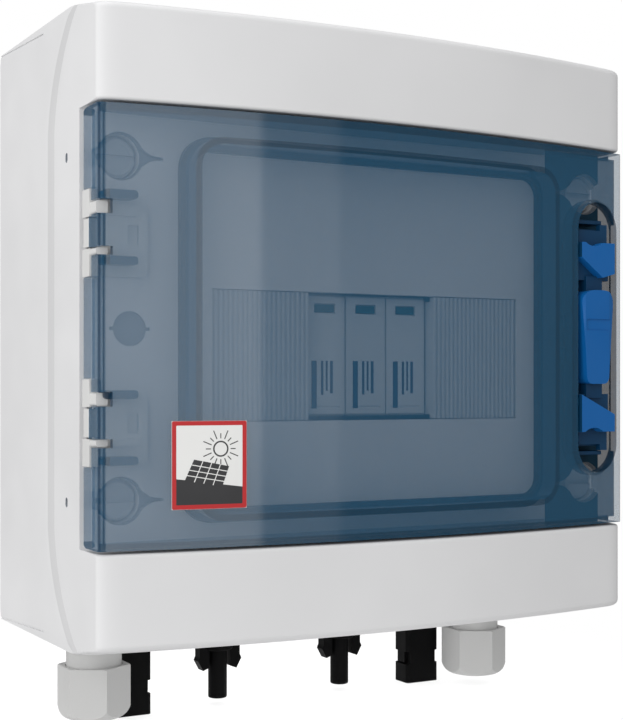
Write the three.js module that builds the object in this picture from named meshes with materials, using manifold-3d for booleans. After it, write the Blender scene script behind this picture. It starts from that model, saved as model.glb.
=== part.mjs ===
// DC combiner box: a wall-mounted plastic enclosure for solar strings, with a hinged transparent door,
// a pinch latch, three plug-in surge arresters on a DIN rail, two cable glands and four PV connectors.
// Millimetres. +X right, +Y towards the wall, +Z up; the origin is the centre of the flat back.
import * as THREE from "three";
import { mergeVertices } from "three/addons/utils/BufferGeometryUtils.js";
import Module from "manifold-3d";

const wasm = await Module();
wasm.setup();

// ---------------------------------------------------------------- driving dimensions
const GAP = 0.3; // air between two pieces that touch on the real box
const BODY = { halfWidth: 110.5, halfHeight: 111.6, sideDepth: 111.4, bow: 9.93, corner: 8, wall: 2.9 };
const SEAM = { y: -66.4, straightHalf: 70, bendY: -70, bendZ: 95, topY: -93, topZ: 112, gap: 0.5 };
const RECESS = { halfHeight: 74.6, panelY: -101.9, panel: 2.8, side: 106.2, stepY: -92.9 };
const DOOR = { halfHeight: 73.6, sheet: 2.2, corner: 4, rearY: -95.4, lipY: -106 };
const FRAME = { halfWidth: 77, halfHeight: 65, radius: 10, wall: 2.2, rearY: -105.4 };
const AXIS = { x: -108.6, y: -97.3, bead: 1.9, pin: 0.9, bore: 1.0 };
const HINGE = { centreZ: 31.7, half: 14.55, tabHalf: 4.75, plateX: -90, plate: 1.2 };
const SLOT = { x: 96.3, half: 11.1, halfHeight: 53.3 };
const LATCH = { x: 94.8, half: 8.2, frontY: -116.8, backY: -109.6, grip: 18.4 };
const BOLT = { stepX: 98.9, endX: 102.4, lowZ: 42.3, highZ: 44.7 };
const SCREW = { x: 99.2, z: 58, recess: 7.6, floorY: -93, head: 6.9, shank: 2.6 };
const WINDOW = { halfWidth: 65.5, halfHeight: 23.25, z: -8.6 };
const MODULE = { pitch: 17.5, z: -8, halfHeight: 22.3, frontY: -96.4, backY: -50.3 };
const RAIL = { z: -8, frontY: -32, depth: 7.5, halfLength: 98, screwX: 80 };
const GLAND = { x: 87, y: -42.4, neck: 10.4, thread: 9.9, bore: 6.4, flats: 24 };
const PV = { y: -26.8, slimX: 28.5, wideX: 67.4, hole: 6.3, thread: 6 };
const LABEL = { left: -86.5, right: -60.4, top: -31, bottom: -60.5, thickness: 0.3 };
const WIRE = { radius: 2.1, y: -56, split: 3 };
const WALL_HOLE = { x: 80, z: 95, radius: 2.6 };

// ---------------------------------------------------------------- materials
const finish = (settings) => new THREE.MeshStandardMaterial(settings);
const plastic = (color, roughness = 0.45) => finish({ color, roughness, metalness: 0 });
const steel = finish({ color: 0xb9bcc0, roughness: 0.35, metalness: 1 });
const lightGrey = plastic(0xdddfe2);
const smokeBlue = finish({ color: 0x5f87a8, roughness: 0.08, transparent: true, opacity: 0.5 });
const latchBlue = plastic(0x1e64a5, 0.4);
const darkBlue = plastic(0x1d4a6b, 0.5);
const moduleGrey = plastic(0xc9ccd0, 0.5);
const flagGreen = plastic(0x2f8f6a, 0.5);
const glandGrey = plastic(0xc2c4c6, 0.5);
const black = plastic(0x191a1b, 0.45);
const rubber = plastic(0x2a2a2c, 0.85);
const earthGreen = plastic(0x4c9a3a, 0.5);
const labelWhite = plastic(0xf2f2f0, 0.4);
const wireRed = plastic(0xa02522, 0.5);

// ---------------------------------------------------------------- solids
function solid(geometry) {
  const loose = geometry.index ? geometry.toNonIndexed() : geometry;
  const bare = new THREE.BufferGeometry().setAttribute("position", loose.getAttribute("position"));
  const merged = mergeVertices(bare, 1e-3);
  const vertProperties = merged.attributes.position.array;
  const triVerts = new Uint32Array(merged.index.array);
  return new wasm.Manifold(new wasm.Mesh({ numProp: 3, vertProperties, triVerts }));
}

const join = (...parts) => parts.reduce((a, b) => a.add(b));
const cut = (from, ...tools) => tools.reduce((a, b) => a.subtract(b), from);

function geometryOf(shape) {
  const mesh = shape.getMesh();
  const positions = new Float32Array(mesh.numVert * 3);
  for (let i = 0; i < mesh.numVert; i++)
    positions.set(mesh.vertProperties.subarray(i * mesh.numProp, i * mesh.numProp + 3), i * 3);
  const geometry = new THREE.BufferGeometry();
  geometry.setAttribute("position", new THREE.BufferAttribute(positions, 3));
  geometry.setIndex(new THREE.BufferAttribute(mesh.triVerts, 1));
  return geometry;
}

function block(x, y, z) {
  const box = new THREE.BoxGeometry(x[1] - x[0], y[1] - y[0], z[1] - z[0]);
  return solid(box.translate((x[0] + x[1]) / 2, (y[0] + y[1]) / 2, (z[0] + z[1]) / 2));
}

// The two turns that lay an extrusion drawn in a plane along X or along Y.
const ALONG_X = new THREE.Matrix4().set(0, 0, 1, 0, 1, 0, 0, 0, 0, 1, 0, 0, 0, 0, 0, 1);
const ALONG_Y = new THREE.Matrix4().set(1, 0, 0, 0, 0, 0, -1, 0, 0, 1, 0, 0, 0, 0, 0, 1);

// An outline is drawn as (x, y) for an extrusion along z, (y, z) along x, and (x, z) along y.
function prism(axis, shape, [from, to], curveSegments = 5) {
  const bar = new THREE.ExtrudeGeometry(shape, { depth: to - from, bevelEnabled: false, curveSegments });
  if (axis === "x") return solid(bar.applyMatrix4(ALONG_X).translate(from, 0, 0));
  if (axis === "y") return solid(bar.applyMatrix4(ALONG_Y).translate(0, to, 0));
  return solid(bar.translate(0, 0, from));
}

const polygon = (...points) => new THREE.Shape(points.map(([a, b]) => new THREE.Vector2(a, b)));

// A straight or tapered round bar along an axis; centre gives the other two coordinates.
function rod(axis, [a, b], radius, [from, to], sides = 16, endRadius = radius) {
  const bar = new THREE.CylinderGeometry(endRadius, radius, to - from, sides);
  const middle = (from + to) / 2;
  if (axis === "y") return solid(bar.translate(a, middle, b));
  if (axis === "z") return solid(bar.rotateX(Math.PI / 2).translate(a, b, middle));
  return solid(bar.rotateZ(-Math.PI / 2).translate(middle, a, b));
}

// A hexagonal bar along z with its flats facing +X and -X.
function hexagon([x, y], acrossFlats, z, endScale = 1) {
  const radius = acrossFlats / Math.sqrt(3);
  const bar = new THREE.CylinderGeometry(radius, radius * endScale, z[1] - z[0], 6);
  return solid(bar.rotateX(Math.PI / 2).rotateZ(Math.PI / 6).translate(x, y, (z[0] + z[1]) / 2));
}

function roundedRectangle(centreX, centreY, halfX, halfY, radius) {
  const shape = new THREE.Shape();
  const [left, right, low, high] = [centreX - halfX, centreX + halfX, centreY - halfY, centreY + halfY];
  shape.moveTo(left + radius, low).lineTo(right - radius, low);
  shape.absarc(right - radius, low + radius, radius, -Math.PI / 2, 0);
  shape.lineTo(right, high - radius);
  shape.absarc(right - radius, high - radius, radius, 0, Math.PI / 2);
  shape.lineTo(left + radius, high);
  shape.absarc(left + radius, high - radius, radius, Math.PI / 2, Math.PI);
  shape.lineTo(left, low + radius);
  shape.absarc(left + radius, low + radius, radius, Math.PI, Math.PI * 1.5);
  return shape;
}

// ---------------------------------------------------------------- the bowed body
// The front face is a parabola in plan: deepest in the middle, sideDepth at the two sides.
const bowAt = (x) => BODY.bow * (1 - (x / BODY.halfWidth) ** 2);
const frontY = (x) => -(BODY.sideDepth + bowAt(x));

// The plan of the body, set in from its sides and its front, back to backY.
function planOutline(sideInset, frontInset, corner, backY, cornerDepth = corner / 4) {
  const half = BODY.halfWidth - sideInset;
  const start = half - corner;
  const cornerY = frontY(half) + frontInset;
  const tangentY = -(BODY.sideDepth + BODY.bow) - (BODY.bow * start ** 2) / BODY.halfWidth ** 2 + frontInset;
  const shape = new THREE.Shape();
  shape.moveTo(-half, backY);
  shape.lineTo(-half, cornerY + cornerDepth);
  shape.quadraticCurveTo(-half, cornerY, -start, frontY(start) + frontInset);
  shape.quadraticCurveTo(0, tangentY, start, frontY(start) + frontInset);
  shape.quadraticCurveTo(half, cornerY, half, cornerY + cornerDepth);
  shape.lineTo(half, backY);
  return shape;
}

// Convex rings with equal numbers of points, counter-clockwise from above, stacked from the lowest up.
function loft(rings) {
  const count = rings[0].points.length;
  const index = [];
  for (let level = 0; level + 1 < rings.length; level++)
    for (let i = 0; i < count; i++) {
      const a = level * count + i;
      const b = level * count + ((i + 1) % count);
      index.push(a, b, b + count, a, b + count, a + count);
    }
  const top = (rings.length - 1) * count;
  for (let i = 1; i + 1 < count; i++) index.push(0, i + 1, i, top, top + i, top + i + 1);
  const geometry = new THREE.BufferGeometry();
  const positions = rings.flatMap(({ z, points }) => points.flatMap((p) => [p.x, p.y, z]));
  geometry.setAttribute("position", new THREE.Float32BufferAttribute(positions, 3));
  geometry.setIndex(index);
  return solid(geometry);
}

// How the body closes above its flat front: a small round edge, then a slope back to the flat top.
// The same runs below, mirrored.
const CROWN = [
  { below: 6.8, front: 0, side: 0, cornerDepth: 0.25 },
  { below: 5.4, front: 0.4, side: 0, cornerDepth: 0.4 },
  { below: 4.6, front: 1.3, side: 0, cornerDepth: 0.6 },
  { below: 4.3, front: 2.6, side: 0, cornerDepth: 0.75 },
  { below: 0.4, front: 22, side: 0.3, cornerDepth: 1 },
  { below: 0, front: 24, side: 1, cornerDepth: 1 },
];

// The whole body, or its hollow when shrunk by the wall.
function bodySolid(shrink, backY = 0) {
  const corner = BODY.corner - shrink;
  const ring = (side, { below, front, side: inset, cornerDepth }) => ({
    z: side * (BODY.halfHeight - shrink - below),
    points: planOutline(shrink + inset, shrink + front, corner, backY, corner * cornerDepth).getPoints(6),
  });
  const upper = CROWN.map((level) => ring(1, level));
  const lower = CROWN.map((level) => ring(-1, level)).reverse();
  return loft([...lower, ...upper]);
}

// Everything behind the joint between base and cover, moved by shift along Y.
function behindSeam(shift) {
  const [seam, bend, top] = [SEAM.y + shift, SEAM.bendY + shift, SEAM.topY + shift];
  const beyond = BODY.halfHeight + 20;
  const side = new THREE.Shape();
  side.moveTo(10, -beyond);
  side.lineTo(10, beyond);
  side.lineTo(top - 4, beyond);
  side.lineTo(top, SEAM.topZ);
  side.quadraticCurveTo(bend, SEAM.bendZ, seam, SEAM.straightHalf);
  side.lineTo(seam, -SEAM.straightHalf);
  side.quadraticCurveTo(bend, -SEAM.bendZ, top, -SEAM.topZ);
  side.lineTo(top - 4, -beyond);
  return prism("x", side, [-BODY.halfWidth - 5, BODY.halfWidth + 5], 7);
}

const corners = [-1, 1].flatMap((sx) => [-1, 1].map((sz) => [sx, sz]));
const WIDE = BODY.halfWidth + 10;
const TALL = BODY.halfHeight + 10;

// ---------------------------------------------------------------- base, cover and seals
function baseBox() {
  const floor = -3;
  const wallX = BODY.halfWidth - BODY.wall;
  let base = cut(bodySolid(0).intersect(behindSeam(0)), bodySolid(BODY.wall, floor));
  for (const [sx, sz] of corners) {
    const [x, z] = [sx * SCREW.x, sz * SCREW.z];
    const rib = [sx * (SCREW.x + 4), sx * (wallX + 1)].sort((a, b) => a - b);
    base = join(base, rod("y", [x, z], 5.5, [RECESS.stepY + 3.2, floor + 1], 12));
    base = join(base, block(rib, [-61, floor + 1], [z - 1.5, z + 1.5]));
    base = cut(base, rod("y", [x, z], 2.9, [-95, -50], 12));
    base = cut(base, rod("y", [sx * WALL_HOLE.x, sz * WALL_HOLE.z], WALL_HOLE.radius, [floor - 1, 1], 12));
  }
  for (const side of [-1, 1]) {
    const boss = [side * RAIL.screwX, RAIL.z];
    const railBack = RAIL.frontY + RAIL.depth + GAP;
    base = join(base, rod("y", boss, 6, [railBack, floor + 1], 12));
    base = cut(base, rod("y", boss, 2.3, [railBack - 1, -12], 12));
    base = cut(base, rod("z", [side * GLAND.x, GLAND.y], GLAND.neck - 0.2, [-TALL, -105]));
    for (const x of [PV.slimX, PV.wideX])
      base = cut(base, rod("z", [side * x, PV.y], PV.hole, [-TALL, -105]));
  }
  return base;
}

function frontCover() {
  const panelBack = RECESS.panelY + RECESS.panel;
  const behindPanel = RECESS.stepY + RECESS.panel;
  const insideWall = RECESS.side - RECESS.panel;
  const stripWall = RECESS.halfHeight + RECESS.panel;
  const frontOfPanel = block([-WIDE, WIDE], [-140, panelBack], [-stripWall, stripWall]);
  let hollow = cut(bodySolid(BODY.wall, 10), frontOfPanel);
  let cover = cut(bodySolid(0), behindSeam(-SEAM.gap));
  for (const sx of [-1, 1]) {
    const beside = (x) => [sx * x, sx * WIDE].sort((a, b) => a - b);
    hollow = cut(hollow, block(beside(insideWall), [-140, behindPanel], [-stripWall, stripWall]));
    cover = cut(
      cover,
      block(beside(RECESS.side), [-140, RECESS.stepY], [-RECESS.halfHeight, RECESS.halfHeight]),
    );
  }
  cover = cut(
    cover,
    hollow,
    block([-WIDE, WIDE], [-140, RECESS.panelY], [-RECESS.halfHeight, RECESS.halfHeight]),
    block(
      [-WINDOW.halfWidth, WINDOW.halfWidth],
      [-140, panelBack + 1],
      [WINDOW.z - WINDOW.halfHeight, WINDOW.z + WINDOW.halfHeight],
    ),
  );
  const insideRecess = block([-RECESS.side, RECESS.side], [-130, 0], [-TALL, TALL]);
  for (const [sx, sz] of corners) {
    const centre = [sx * SCREW.x, sz * SCREW.z];
    cover = join(cover, rod("y", centre, 9.4, [RECESS.panelY, behindPanel]).intersect(insideRecess));
    cover = cut(cover, rod("y", centre, SCREW.recess, [-110, SCREW.floorY]));
    cover = cut(cover, rod("y", centre, 3, [-110, -80], 16));
  }
  for (const side of [-1, 1]) {
    const strikeZ = spanZ(side, BOLT.highZ + GAP, 51.5);
    cover = join(cover, block([LATCH.x - 6.5, BOLT.endX], [-109.8, RECESS.panelY + 1], strikeZ));
  }
  return cover;
}

// A rubber loop just inside the walls that follows the joint between base and cover.
function coverSeal() {
  const band = cut(behindSeam(-3), behindSeam(3));
  return cut(bodySolid(BODY.wall + 0.4), bodySolid(BODY.wall + 2.2, 1)).intersect(band);
}

function doorSeal() {
  const grow = 1.5;
  const outer = roundedRectangle(0, 0, FRAME.halfWidth + grow, FRAME.halfHeight + grow, FRAME.radius + grow);
  const inner = roundedRectangle(0, 0, FRAME.halfWidth - 3.5, FRAME.halfHeight - 3.5, FRAME.radius - 3.5);
  const y = [FRAME.rearY + GAP, RECESS.panelY - GAP];
  return cut(prism("y", outer, y), prism("y", inner, [y[0] - 1, y[1] + 1]));
}

// ---------------------------------------------------------------- door and hinges
const hingeSpan = (side, from, to) => [side * HINGE.centreZ + from, side * HINGE.centreZ + to];

function door() {
  const z = [-DOOR.halfHeight, DOOR.halfHeight];
  const behindAxis = block([-WIDE, AXIS.x + AXIS.bead], [AXIS.y, 0], [-TALL, TALL]);
  const outside = cut(prism("z", planOutline(0, 0, DOOR.corner, DOOR.rearY), z, 8), behindAxis);
  const insideOutline = planOutline(DOOR.sheet, DOOR.sheet, DOOR.corner - DOOR.sheet, DOOR.rearY + 5);
  const lips = DOOR.halfHeight - DOOR.sheet;
  const inside = prism("z", insideOutline, [-lips, lips], 8);
  const behindLips = prism("z", insideOutline, [z[0] - 1, z[1] + 1], 8).intersect(
    block([-WIDE, WIDE], [DOOR.lipY, 0], [-TALL, TALL]),
  );
  const frameOuter = roundedRectangle(0, 0, FRAME.halfWidth, FRAME.halfHeight, FRAME.radius);
  const frameInner = roundedRectangle(
    0,
    0,
    FRAME.halfWidth - FRAME.wall,
    FRAME.halfHeight - FRAME.wall,
    FRAME.radius - FRAME.wall,
  );
  const insideFrame = prism("y", frameInner, [-131, FRAME.rearY + 1]);
  const frame = cut(prism("y", frameOuter, [-130, FRAME.rearY]), insideFrame);
  const bead = rod("z", [AXIS.x, AXIS.y], AXIS.bead, z, 16);
  let panel = join(cut(outside, inside, behindLips), frame.intersect(outside), bead);
  const slot = roundedRectangle(SLOT.x, 0, SLOT.half, SLOT.halfHeight, SLOT.half - 0.1);
  panel = cut(panel, prism("y", slot, [-130, -96]));
  for (const side of [-1, 1]) {
    for (const [from, to] of [
      [-HINGE.half - GAP, -HINGE.tabHalf - GAP],
      [HINGE.tabHalf + GAP, HINGE.half + GAP],
    ])
      panel = cut(panel, block([-WIDE, -106], [-104.5, -90], hingeSpan(side, from, to)));
    panel = cut(panel, rod("z", [AXIS.x, AXIS.y], AXIS.bore, hingeSpan(side, -9, 9), 16));
  }
  return panel;
}

// A bracket on the cover: a plate in front of the panel, two arms round its edge and two knuckles.
function hingeBlock(side) {
  const plateFront = RECESS.panelY - GAP - HINGE.plate;
  const plate = block(
    [AXIS.x + 1, HINGE.plateX],
    [plateFront, plateFront + HINGE.plate],
    hingeSpan(side, -HINGE.half, HINGE.half),
  );
  const knuckles = [
    hingeSpan(side, -HINGE.half, -HINGE.tabHalf - 2 * GAP),
    hingeSpan(side, HINGE.tabHalf + 2 * GAP, HINGE.half),
  ].map((z) =>
    join(
      rod("z", [AXIS.x, AXIS.y], AXIS.bead, z, 16),
      block([AXIS.x - 1.3, AXIS.x + 1.3], [plateFront, AXIS.y], z),
    ),
  );
  return cut(join(plate, ...knuckles), rod("z", [AXIS.x, AXIS.y], AXIS.bore, hingeSpan(side, -20, 20), 16));
}

function hingePin(side) {
  return rod("z", [AXIS.x, AXIS.y], AXIS.pin, hingeSpan(side, -HINGE.half, HINGE.half), 16);
}

// ---------------------------------------------------------------- latch
// The sliders are drawn as the upper one; side -1 mirrors it below the grip.
const spanZ = (side, from, to) => [side * from, side * to].sort((a, b) => a - b);

function latchGrip() {
  const { x, half, grip, frontY: front, backY } = LATCH;
  const outline = new THREE.Shape();
  outline.moveTo(x - half + 2.6, -grip);
  outline.lineTo(x + half - 4.6, -grip);
  outline.quadraticCurveTo(x + half - 1.2, -grip, x + half - 0.8, -grip + 5);
  outline.lineTo(x + half, grip - 7);
  outline.quadraticCurveTo(x + half, grip, x, grip);
  outline.quadraticCurveTo(x - half, grip, x - half, grip - 7);
  outline.lineTo(x - half + 0.8, -grip + 4);
  outline.quadraticCurveTo(x - half + 0.9, -grip, x - half + 2.6, -grip);
  const body = prism("y", outline, [front, backY], 4);
  const badge = block([x - half + 1.6, x + half - 2], [front - 1, front + 0.5], [2.5, 7]);
  const pocket = (side) => block([x - 4.4, x + 4.4], [-113.8, backY + 1], spanZ(side, 3.5, grip + 1));
  return cut(body, badge, pocket(-1), pocket(1));
}

function latchCarrier() {
  const plateBack = LATCH.backY + GAP + 2;
  const plate = block([LATCH.x - 7.5, LATCH.x + 7.5], [LATCH.backY + GAP, plateBack], [-43, 43]);
  const railX = [SLOT.x - SLOT.half - 2, SLOT.x + SLOT.half];
  const rails = [-1, 1].map((side) => block(railX, [LATCH.backY + 1, plateBack], spanZ(side, 4, 9)));
  return join(plate, ...rails);
}

// The pressed face is cut off at a slant below on the upper slider and above on the lower one; a finger
// notch hollows its outer edge, and a stepped bolt reaches past it.
function latchSlider(side) {
  const { x, half, backY, frontY: front } = LATCH;
  const [left, right] = [x - half - 0.4, x + half - 0.4];
  const face = side > 0
    ? polygon([left, 37], [left, 31], [right - 6, 23.3], [right, 25], [right, 37])
    : polygon([left, -37.2], [left, -22.6], [right, -30.4], [right, -37.2]);
  const press = prism("y", face, [front + 0.2, -112]);
  const foot = block([left, right], [-112.5, backY], spanZ(side, 22.4, 37));
  const bolt = join(
    block([left + 2, BOLT.stepX + 1], [-112, backY], spanZ(side, 36, BOLT.lowZ)),
    block([BOLT.stepX, BOLT.endX], [-112, backY], spanZ(side, 36, BOLT.highZ)),
  );
  const tongue = block([x - 4, x + 4], [-113.4, backY], spanZ(side, 14, 24));
  const notch = rod("y", [x - 2.5, side * 42.6], 7, [front - 1, -112.2], 24);
  return cut(join(press, foot, bolt, tongue), notch);
}

// A coil along z: a small polygon swept round a helix.
function latchSpring(side) {
  const coil = { radius: 1.5, wire: 0.25, turns: 4 };
  const [low, high] = spanZ(side, 4.1, 13.4);
  class Helix extends THREE.Curve {
    getPoint(t, target = new THREE.Vector3()) {
      const angle = t * coil.turns * 2 * Math.PI;
      const [dx, dy] = [Math.cos(angle) * coil.radius, Math.sin(angle) * coil.radius];
      return target.set(LATCH.x + dx, -111.7 + dy, low + t * (high - low));
    }
  }
  const half = coil.wire;
  const section = polygon([-half, -half], [half, -half], [half, half], [-half, half]);
  return solid(new THREE.ExtrudeGeometry(section, { steps: coil.turns * 8, extrudePath: new Helix() }));
}

function coverScrew(sx, sz) {
  const centre = [sx * SCREW.x, sz * SCREW.z];
  const headFront = SCREW.floorY - GAP - 5;
  const head = rod("y", centre, SCREW.head, [headFront, SCREW.floorY - GAP]);
  const shank = rod("y", centre, SCREW.shank, [SCREW.floorY - GAP - 1, -55], 16);
  const slit = block(
    [centre[0] - SCREW.head - 1, centre[0] + SCREW.head + 1],
    [headFront - 1, headFront + 1.8],
    [centre[1] - 0.9, centre[1] + 0.9],
  );
  return cut(join(head, shank), slit);
}

// ---------------------------------------------------------------- rail and arresters
function dinRail() {
  const back = RAIL.frontY + RAIL.depth;
  const hat = polygon(
    [RAIL.frontY, RAIL.z + 17.5],
    [RAIL.frontY, RAIL.z + 12.5],
    [back - 1, RAIL.z + 12.5],
    [back - 1, RAIL.z - 12.5],
    [RAIL.frontY, RAIL.z - 12.5],
    [RAIL.frontY, RAIL.z - 17.5],
    [RAIL.frontY + 1, RAIL.z - 17.5],
    [RAIL.frontY + 1, RAIL.z - 13.5],
    [back, RAIL.z - 13.5],
    [back, RAIL.z + 13.5],
    [RAIL.frontY + 1, RAIL.z + 13.5],
    [RAIL.frontY + 1, RAIL.z + 17.5],
  );
  const rail = prism("x", hat, [-RAIL.halfLength, RAIL.halfLength]);
  return cut(rail, ...[-1, 1].map((side) => rod("y", [side * RAIL.screwX, RAIL.z], 2.5, [-40, -20], 16)));
}

function railScrew(side) {
  const centre = [side * RAIL.screwX, RAIL.z];
  const seat = RAIL.frontY + RAIL.depth - 1 - GAP;
  const head = rod("y", centre, 4, [seat - 2.2, seat], 16);
  const shank = rod("y", centre, 2, [seat - 0.5, -14], 12);
  const slit = block([centre[0] - 5, centre[0] + 5], [seat - 3, seat - 1.2], [RAIL.z - 0.6, RAIL.z + 0.6]);
  return cut(join(head, shank), slit);
}

// The foot that every rail device has: it reaches round both edges of the rail.
function railFoot(x) {
  return [-1, 1].map((side) => {
    const z = (value) => RAIL.z + side * value;
    const hook = polygon(
      [RAIL.frontY - 2, z(16)],
      [RAIL.frontY - 2, z(21)],
      [RAIL.frontY + 2.6, z(21)],
      [RAIL.frontY + 2.6, z(16.4)],
      [RAIL.frontY + 1 + GAP, z(16.4)],
      [RAIL.frontY + 1 + GAP, z(17.8)],
      [RAIL.frontY - GAP, z(17.8)],
      [RAIL.frontY - GAP, z(16)],
    );
    return prism("x", hook, x);
  });
}

function spdBase() {
  const half = 1.5 * MODULE.pitch;
  const x = [-half, half];
  const [low, high] = [MODULE.z - 45, MODULE.z + 45];
  const shoulderY = -76;
  const profile = polygon(
    [RAIL.frontY - GAP, low],
    [RAIL.frontY - GAP, high],
    [shoulderY + 6, high],
    [shoulderY, high - 8],
    [shoulderY, MODULE.z + MODULE.halfHeight + GAP],
    [MODULE.backY + GAP, MODULE.z + MODULE.halfHeight + GAP],
    [MODULE.backY + GAP, MODULE.z - MODULE.halfHeight - GAP],
    [shoulderY, MODULE.z - MODULE.halfHeight - GAP],
    [shoulderY, low + 8],
    [shoulderY + 6, low],
  );
  let base = join(prism("x", profile, x), ...railFoot(x));
  for (const pole of [-1, 0, 1])
    for (const side of [-1, 1]) {
      const middle = pole * MODULE.pitch;
      const contactZ = MODULE.z + side * 15;
      const contact = block([middle - 1.3, middle + 1.3], [-51, -40.5], [contactZ - 3.6, contactZ + 3.6]);
      base = cut(base, contact, rod("y", [middle, MODULE.z + side * 33], 2.8, [shoulderY - 1, -62], 12));
    }
  for (const pole of [-1, 1])
    for (const split of [-1, 1])
      base = cut(base, wireEntry(terminalX(pole, split), [low - 1, low + 10]));
  return cut(base, wireEntry(0, [high - 10, high + 1]));
}

const terminalX = (pole, split) => pole * MODULE.pitch + split * WIRE.split;
const wireEntry = (x, z) => rod("z", [x, WIRE.y], WIRE.radius + 0.5, z, 12);

function spdPlug(pole) {
  const half = MODULE.pitch / 2 - GAP;
  const x = [pole * MODULE.pitch - half, pole * MODULE.pitch + half];
  const [low, high] = [MODULE.z - MODULE.halfHeight, MODULE.z + MODULE.halfHeight];
  const front = MODULE.frontY;
  const profile = polygon(
    [MODULE.backY, low],
    [MODULE.backY, high],
    [front + 14, high],
    [front + 13, high - 1.2],
    [front + 4, high - 1.2],
    [front + 3, high],
    [front + 0.8, high],
    [front, high - 0.8],
    [front, low + 0.8],
    [front + 0.8, low],
    [front + 3, low],
    [front + 4, low + 1.2],
    [front + 13, low + 1.2],
    [front + 14, low],
  );
  let plug = prism("x", profile, x);
  for (const side of [-1, 1]) {
    const contactZ = MODULE.z + side * 15;
    const blade = [pole * MODULE.pitch - 0.5, pole * MODULE.pitch + 0.5];
    plug = join(plug, block(blade, [MODULE.backY - 1, -42], [contactZ - 3, contactZ + 3]));
  }
  const flag = flagBox(pole, GAP);
  return cut(plug, block(flag.x, [front - 1, front + 1.6], flag.z));
}

function flagBox(pole, grow) {
  const [halfWidth, low, high] = [4.1, 7.8, 10.7];
  const middle = pole * MODULE.pitch;
  return { x: [middle - halfWidth - grow, middle + halfWidth + grow], z: [low - grow, high + grow] };
}

function spdFlag(pole) {
  const flag = flagBox(pole, 0);
  return block(flag.x, [MODULE.frontY + 0.4, MODULE.frontY + 1.3], flag.z);
}

// A ribbed plate in the cover's window, with a lip behind the panel above and below.
function blankingStrip(side) {
  const inner = 1.5 * MODULE.pitch + 0.6;
  const outer = WINDOW.halfWidth - GAP;
  const ribs = 20;
  const pitch = (outer - inner) / ribs;
  const [ribTop, ribFoot, back] = [-101.7, -100.8, -98.8];
  const points = [[side * inner, back]];
  for (let i = 0; i < ribs; i++) {
    const start = inner + i * pitch;
    for (const [along, y] of [[0, ribFoot], [0.15, ribTop], [0.6, ribTop], [0.75, ribFoot]])
      points.push([side * (start + along * pitch), y]);
  }
  points.push([side * outer, ribFoot], [side * outer, back]);
  const low = WINDOW.z - WINDOW.halfHeight + GAP;
  const high = WINDOW.z + WINDOW.halfHeight - GAP;
  const lipX = spanZ(side, inner + 3, outer - 3);
  const lip = block(lipX, [back, back + 1.2], [low - 2.5, high + 2.5]);
  return join(prism("z", polygon(...points), [low, high]), lip);
}

function earthTerminal() {
  const x = [-48.1, -41.9];
  const profile = polygon(
    [RAIL.frontY - GAP, MODULE.z - 24],
    [RAIL.frontY - GAP, MODULE.z + 24],
    [-60, MODULE.z + 24],
    [-72, MODULE.z + 12],
    [-72, MODULE.z - 12],
    [-60, MODULE.z - 24],
  );
  return cut(join(prism("x", profile, x), ...railFoot(x)), wireEntry(-45, [MODULE.z + 14, MODULE.z + 30]));
}

// ---------------------------------------------------------------- glands and connectors
const underside = -BODY.halfHeight;
const insideFloor = underside + BODY.wall;

function glandBody(side) {
  const centre = [side * GLAND.x, GLAND.y];
  const collar = rod("z", centre, GLAND.neck, [-126, underside - GAP]);
  const thread = rod("z", centre, GLAND.thread, [underside - 1, -101]);
  const seat = rod("z", centre, 9, [-133, -125]);
  const body = join(collar, thread, seat);
  return cut(body, rod("z", centre, GLAND.bore, [-140, -95]));
}

function glandNut(side) {
  const centre = [side * GLAND.x, GLAND.y];
  const turned = join(
    rod("z", centre, 14.5, [-138, -124], 24),
    rod("z", centre, 12.4, [-141.6, -138], 24, 14.5),
    rod("z", centre, 8.7, [-144, -141.6], 24, 12.4),
  );
  const nut = hexagon(centre, GLAND.flats, [-144, -124]).intersect(turned);
  const room = rod("z", centre, 9.3, [-134, -120]);
  const collarRoom = rod("z", centre, GLAND.neck + GAP, [-126.4, -120]);
  return cut(nut, room, collarRoom, rod("z", centre, 6.6, [-150, -120]));
}

function glandSeal(side) {
  const centre = [side * GLAND.x, GLAND.y];
  return cut(rod("z", centre, GLAND.bore - 0.4, [-141, -124]), rod("z", centre, 4.6, [-145, -120], 16));
}

function glandLocknut(side) {
  const centre = [side * GLAND.x, GLAND.y];
  const nut = hexagon(centre, GLAND.flats, [insideFloor + GAP, insideFloor + 5]);
  return cut(nut, rod("z", centre, GLAND.thread + GAP, [-115, -95]));
}

function pvNut(x) {
  const nut = hexagon([x, PV.y], 15, [insideFloor + GAP, insideFloor + 4]);
  return cut(nut, rod("z", [x, PV.y], PV.thread + GAP, [-115, -95], 16));
}

// The part of a panel connector that all four share: a shoulder under the wall and a thread through it.
function pvShoulder(x) {
  return join(
    rod("z", [x, PV.y], 7.6, [-117, underside - GAP]),
    rod("z", [x, PV.y], PV.thread, [underside - 1, -101], 16),
  );
}

function pvPlug(x) {
  const tube = join(rod("z", [x, PV.y], 6.2, [-126, -116]), rod("z", [x, PV.y], 3.83, [-145.6, -125], 16));
  const prongs = [-1, 1].map((side) => {
    const edge = (value) => x + side * value;
    const outline = polygon(
      [edge(4.4), -119],
      [edge(8.9), -119],
      [edge(8.9), -128.5],
      [edge(9.6), -130],
      [edge(7.4), -134],
      [edge(4.8), -133],
    );
    return prism("y", outline, [PV.y - 2.4, PV.y + 2.4]);
  });
  return cut(join(pvShoulder(x), tube, ...prongs), rod("z", [x, PV.y], 2.2, [-150, -132], 12));
}

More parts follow.
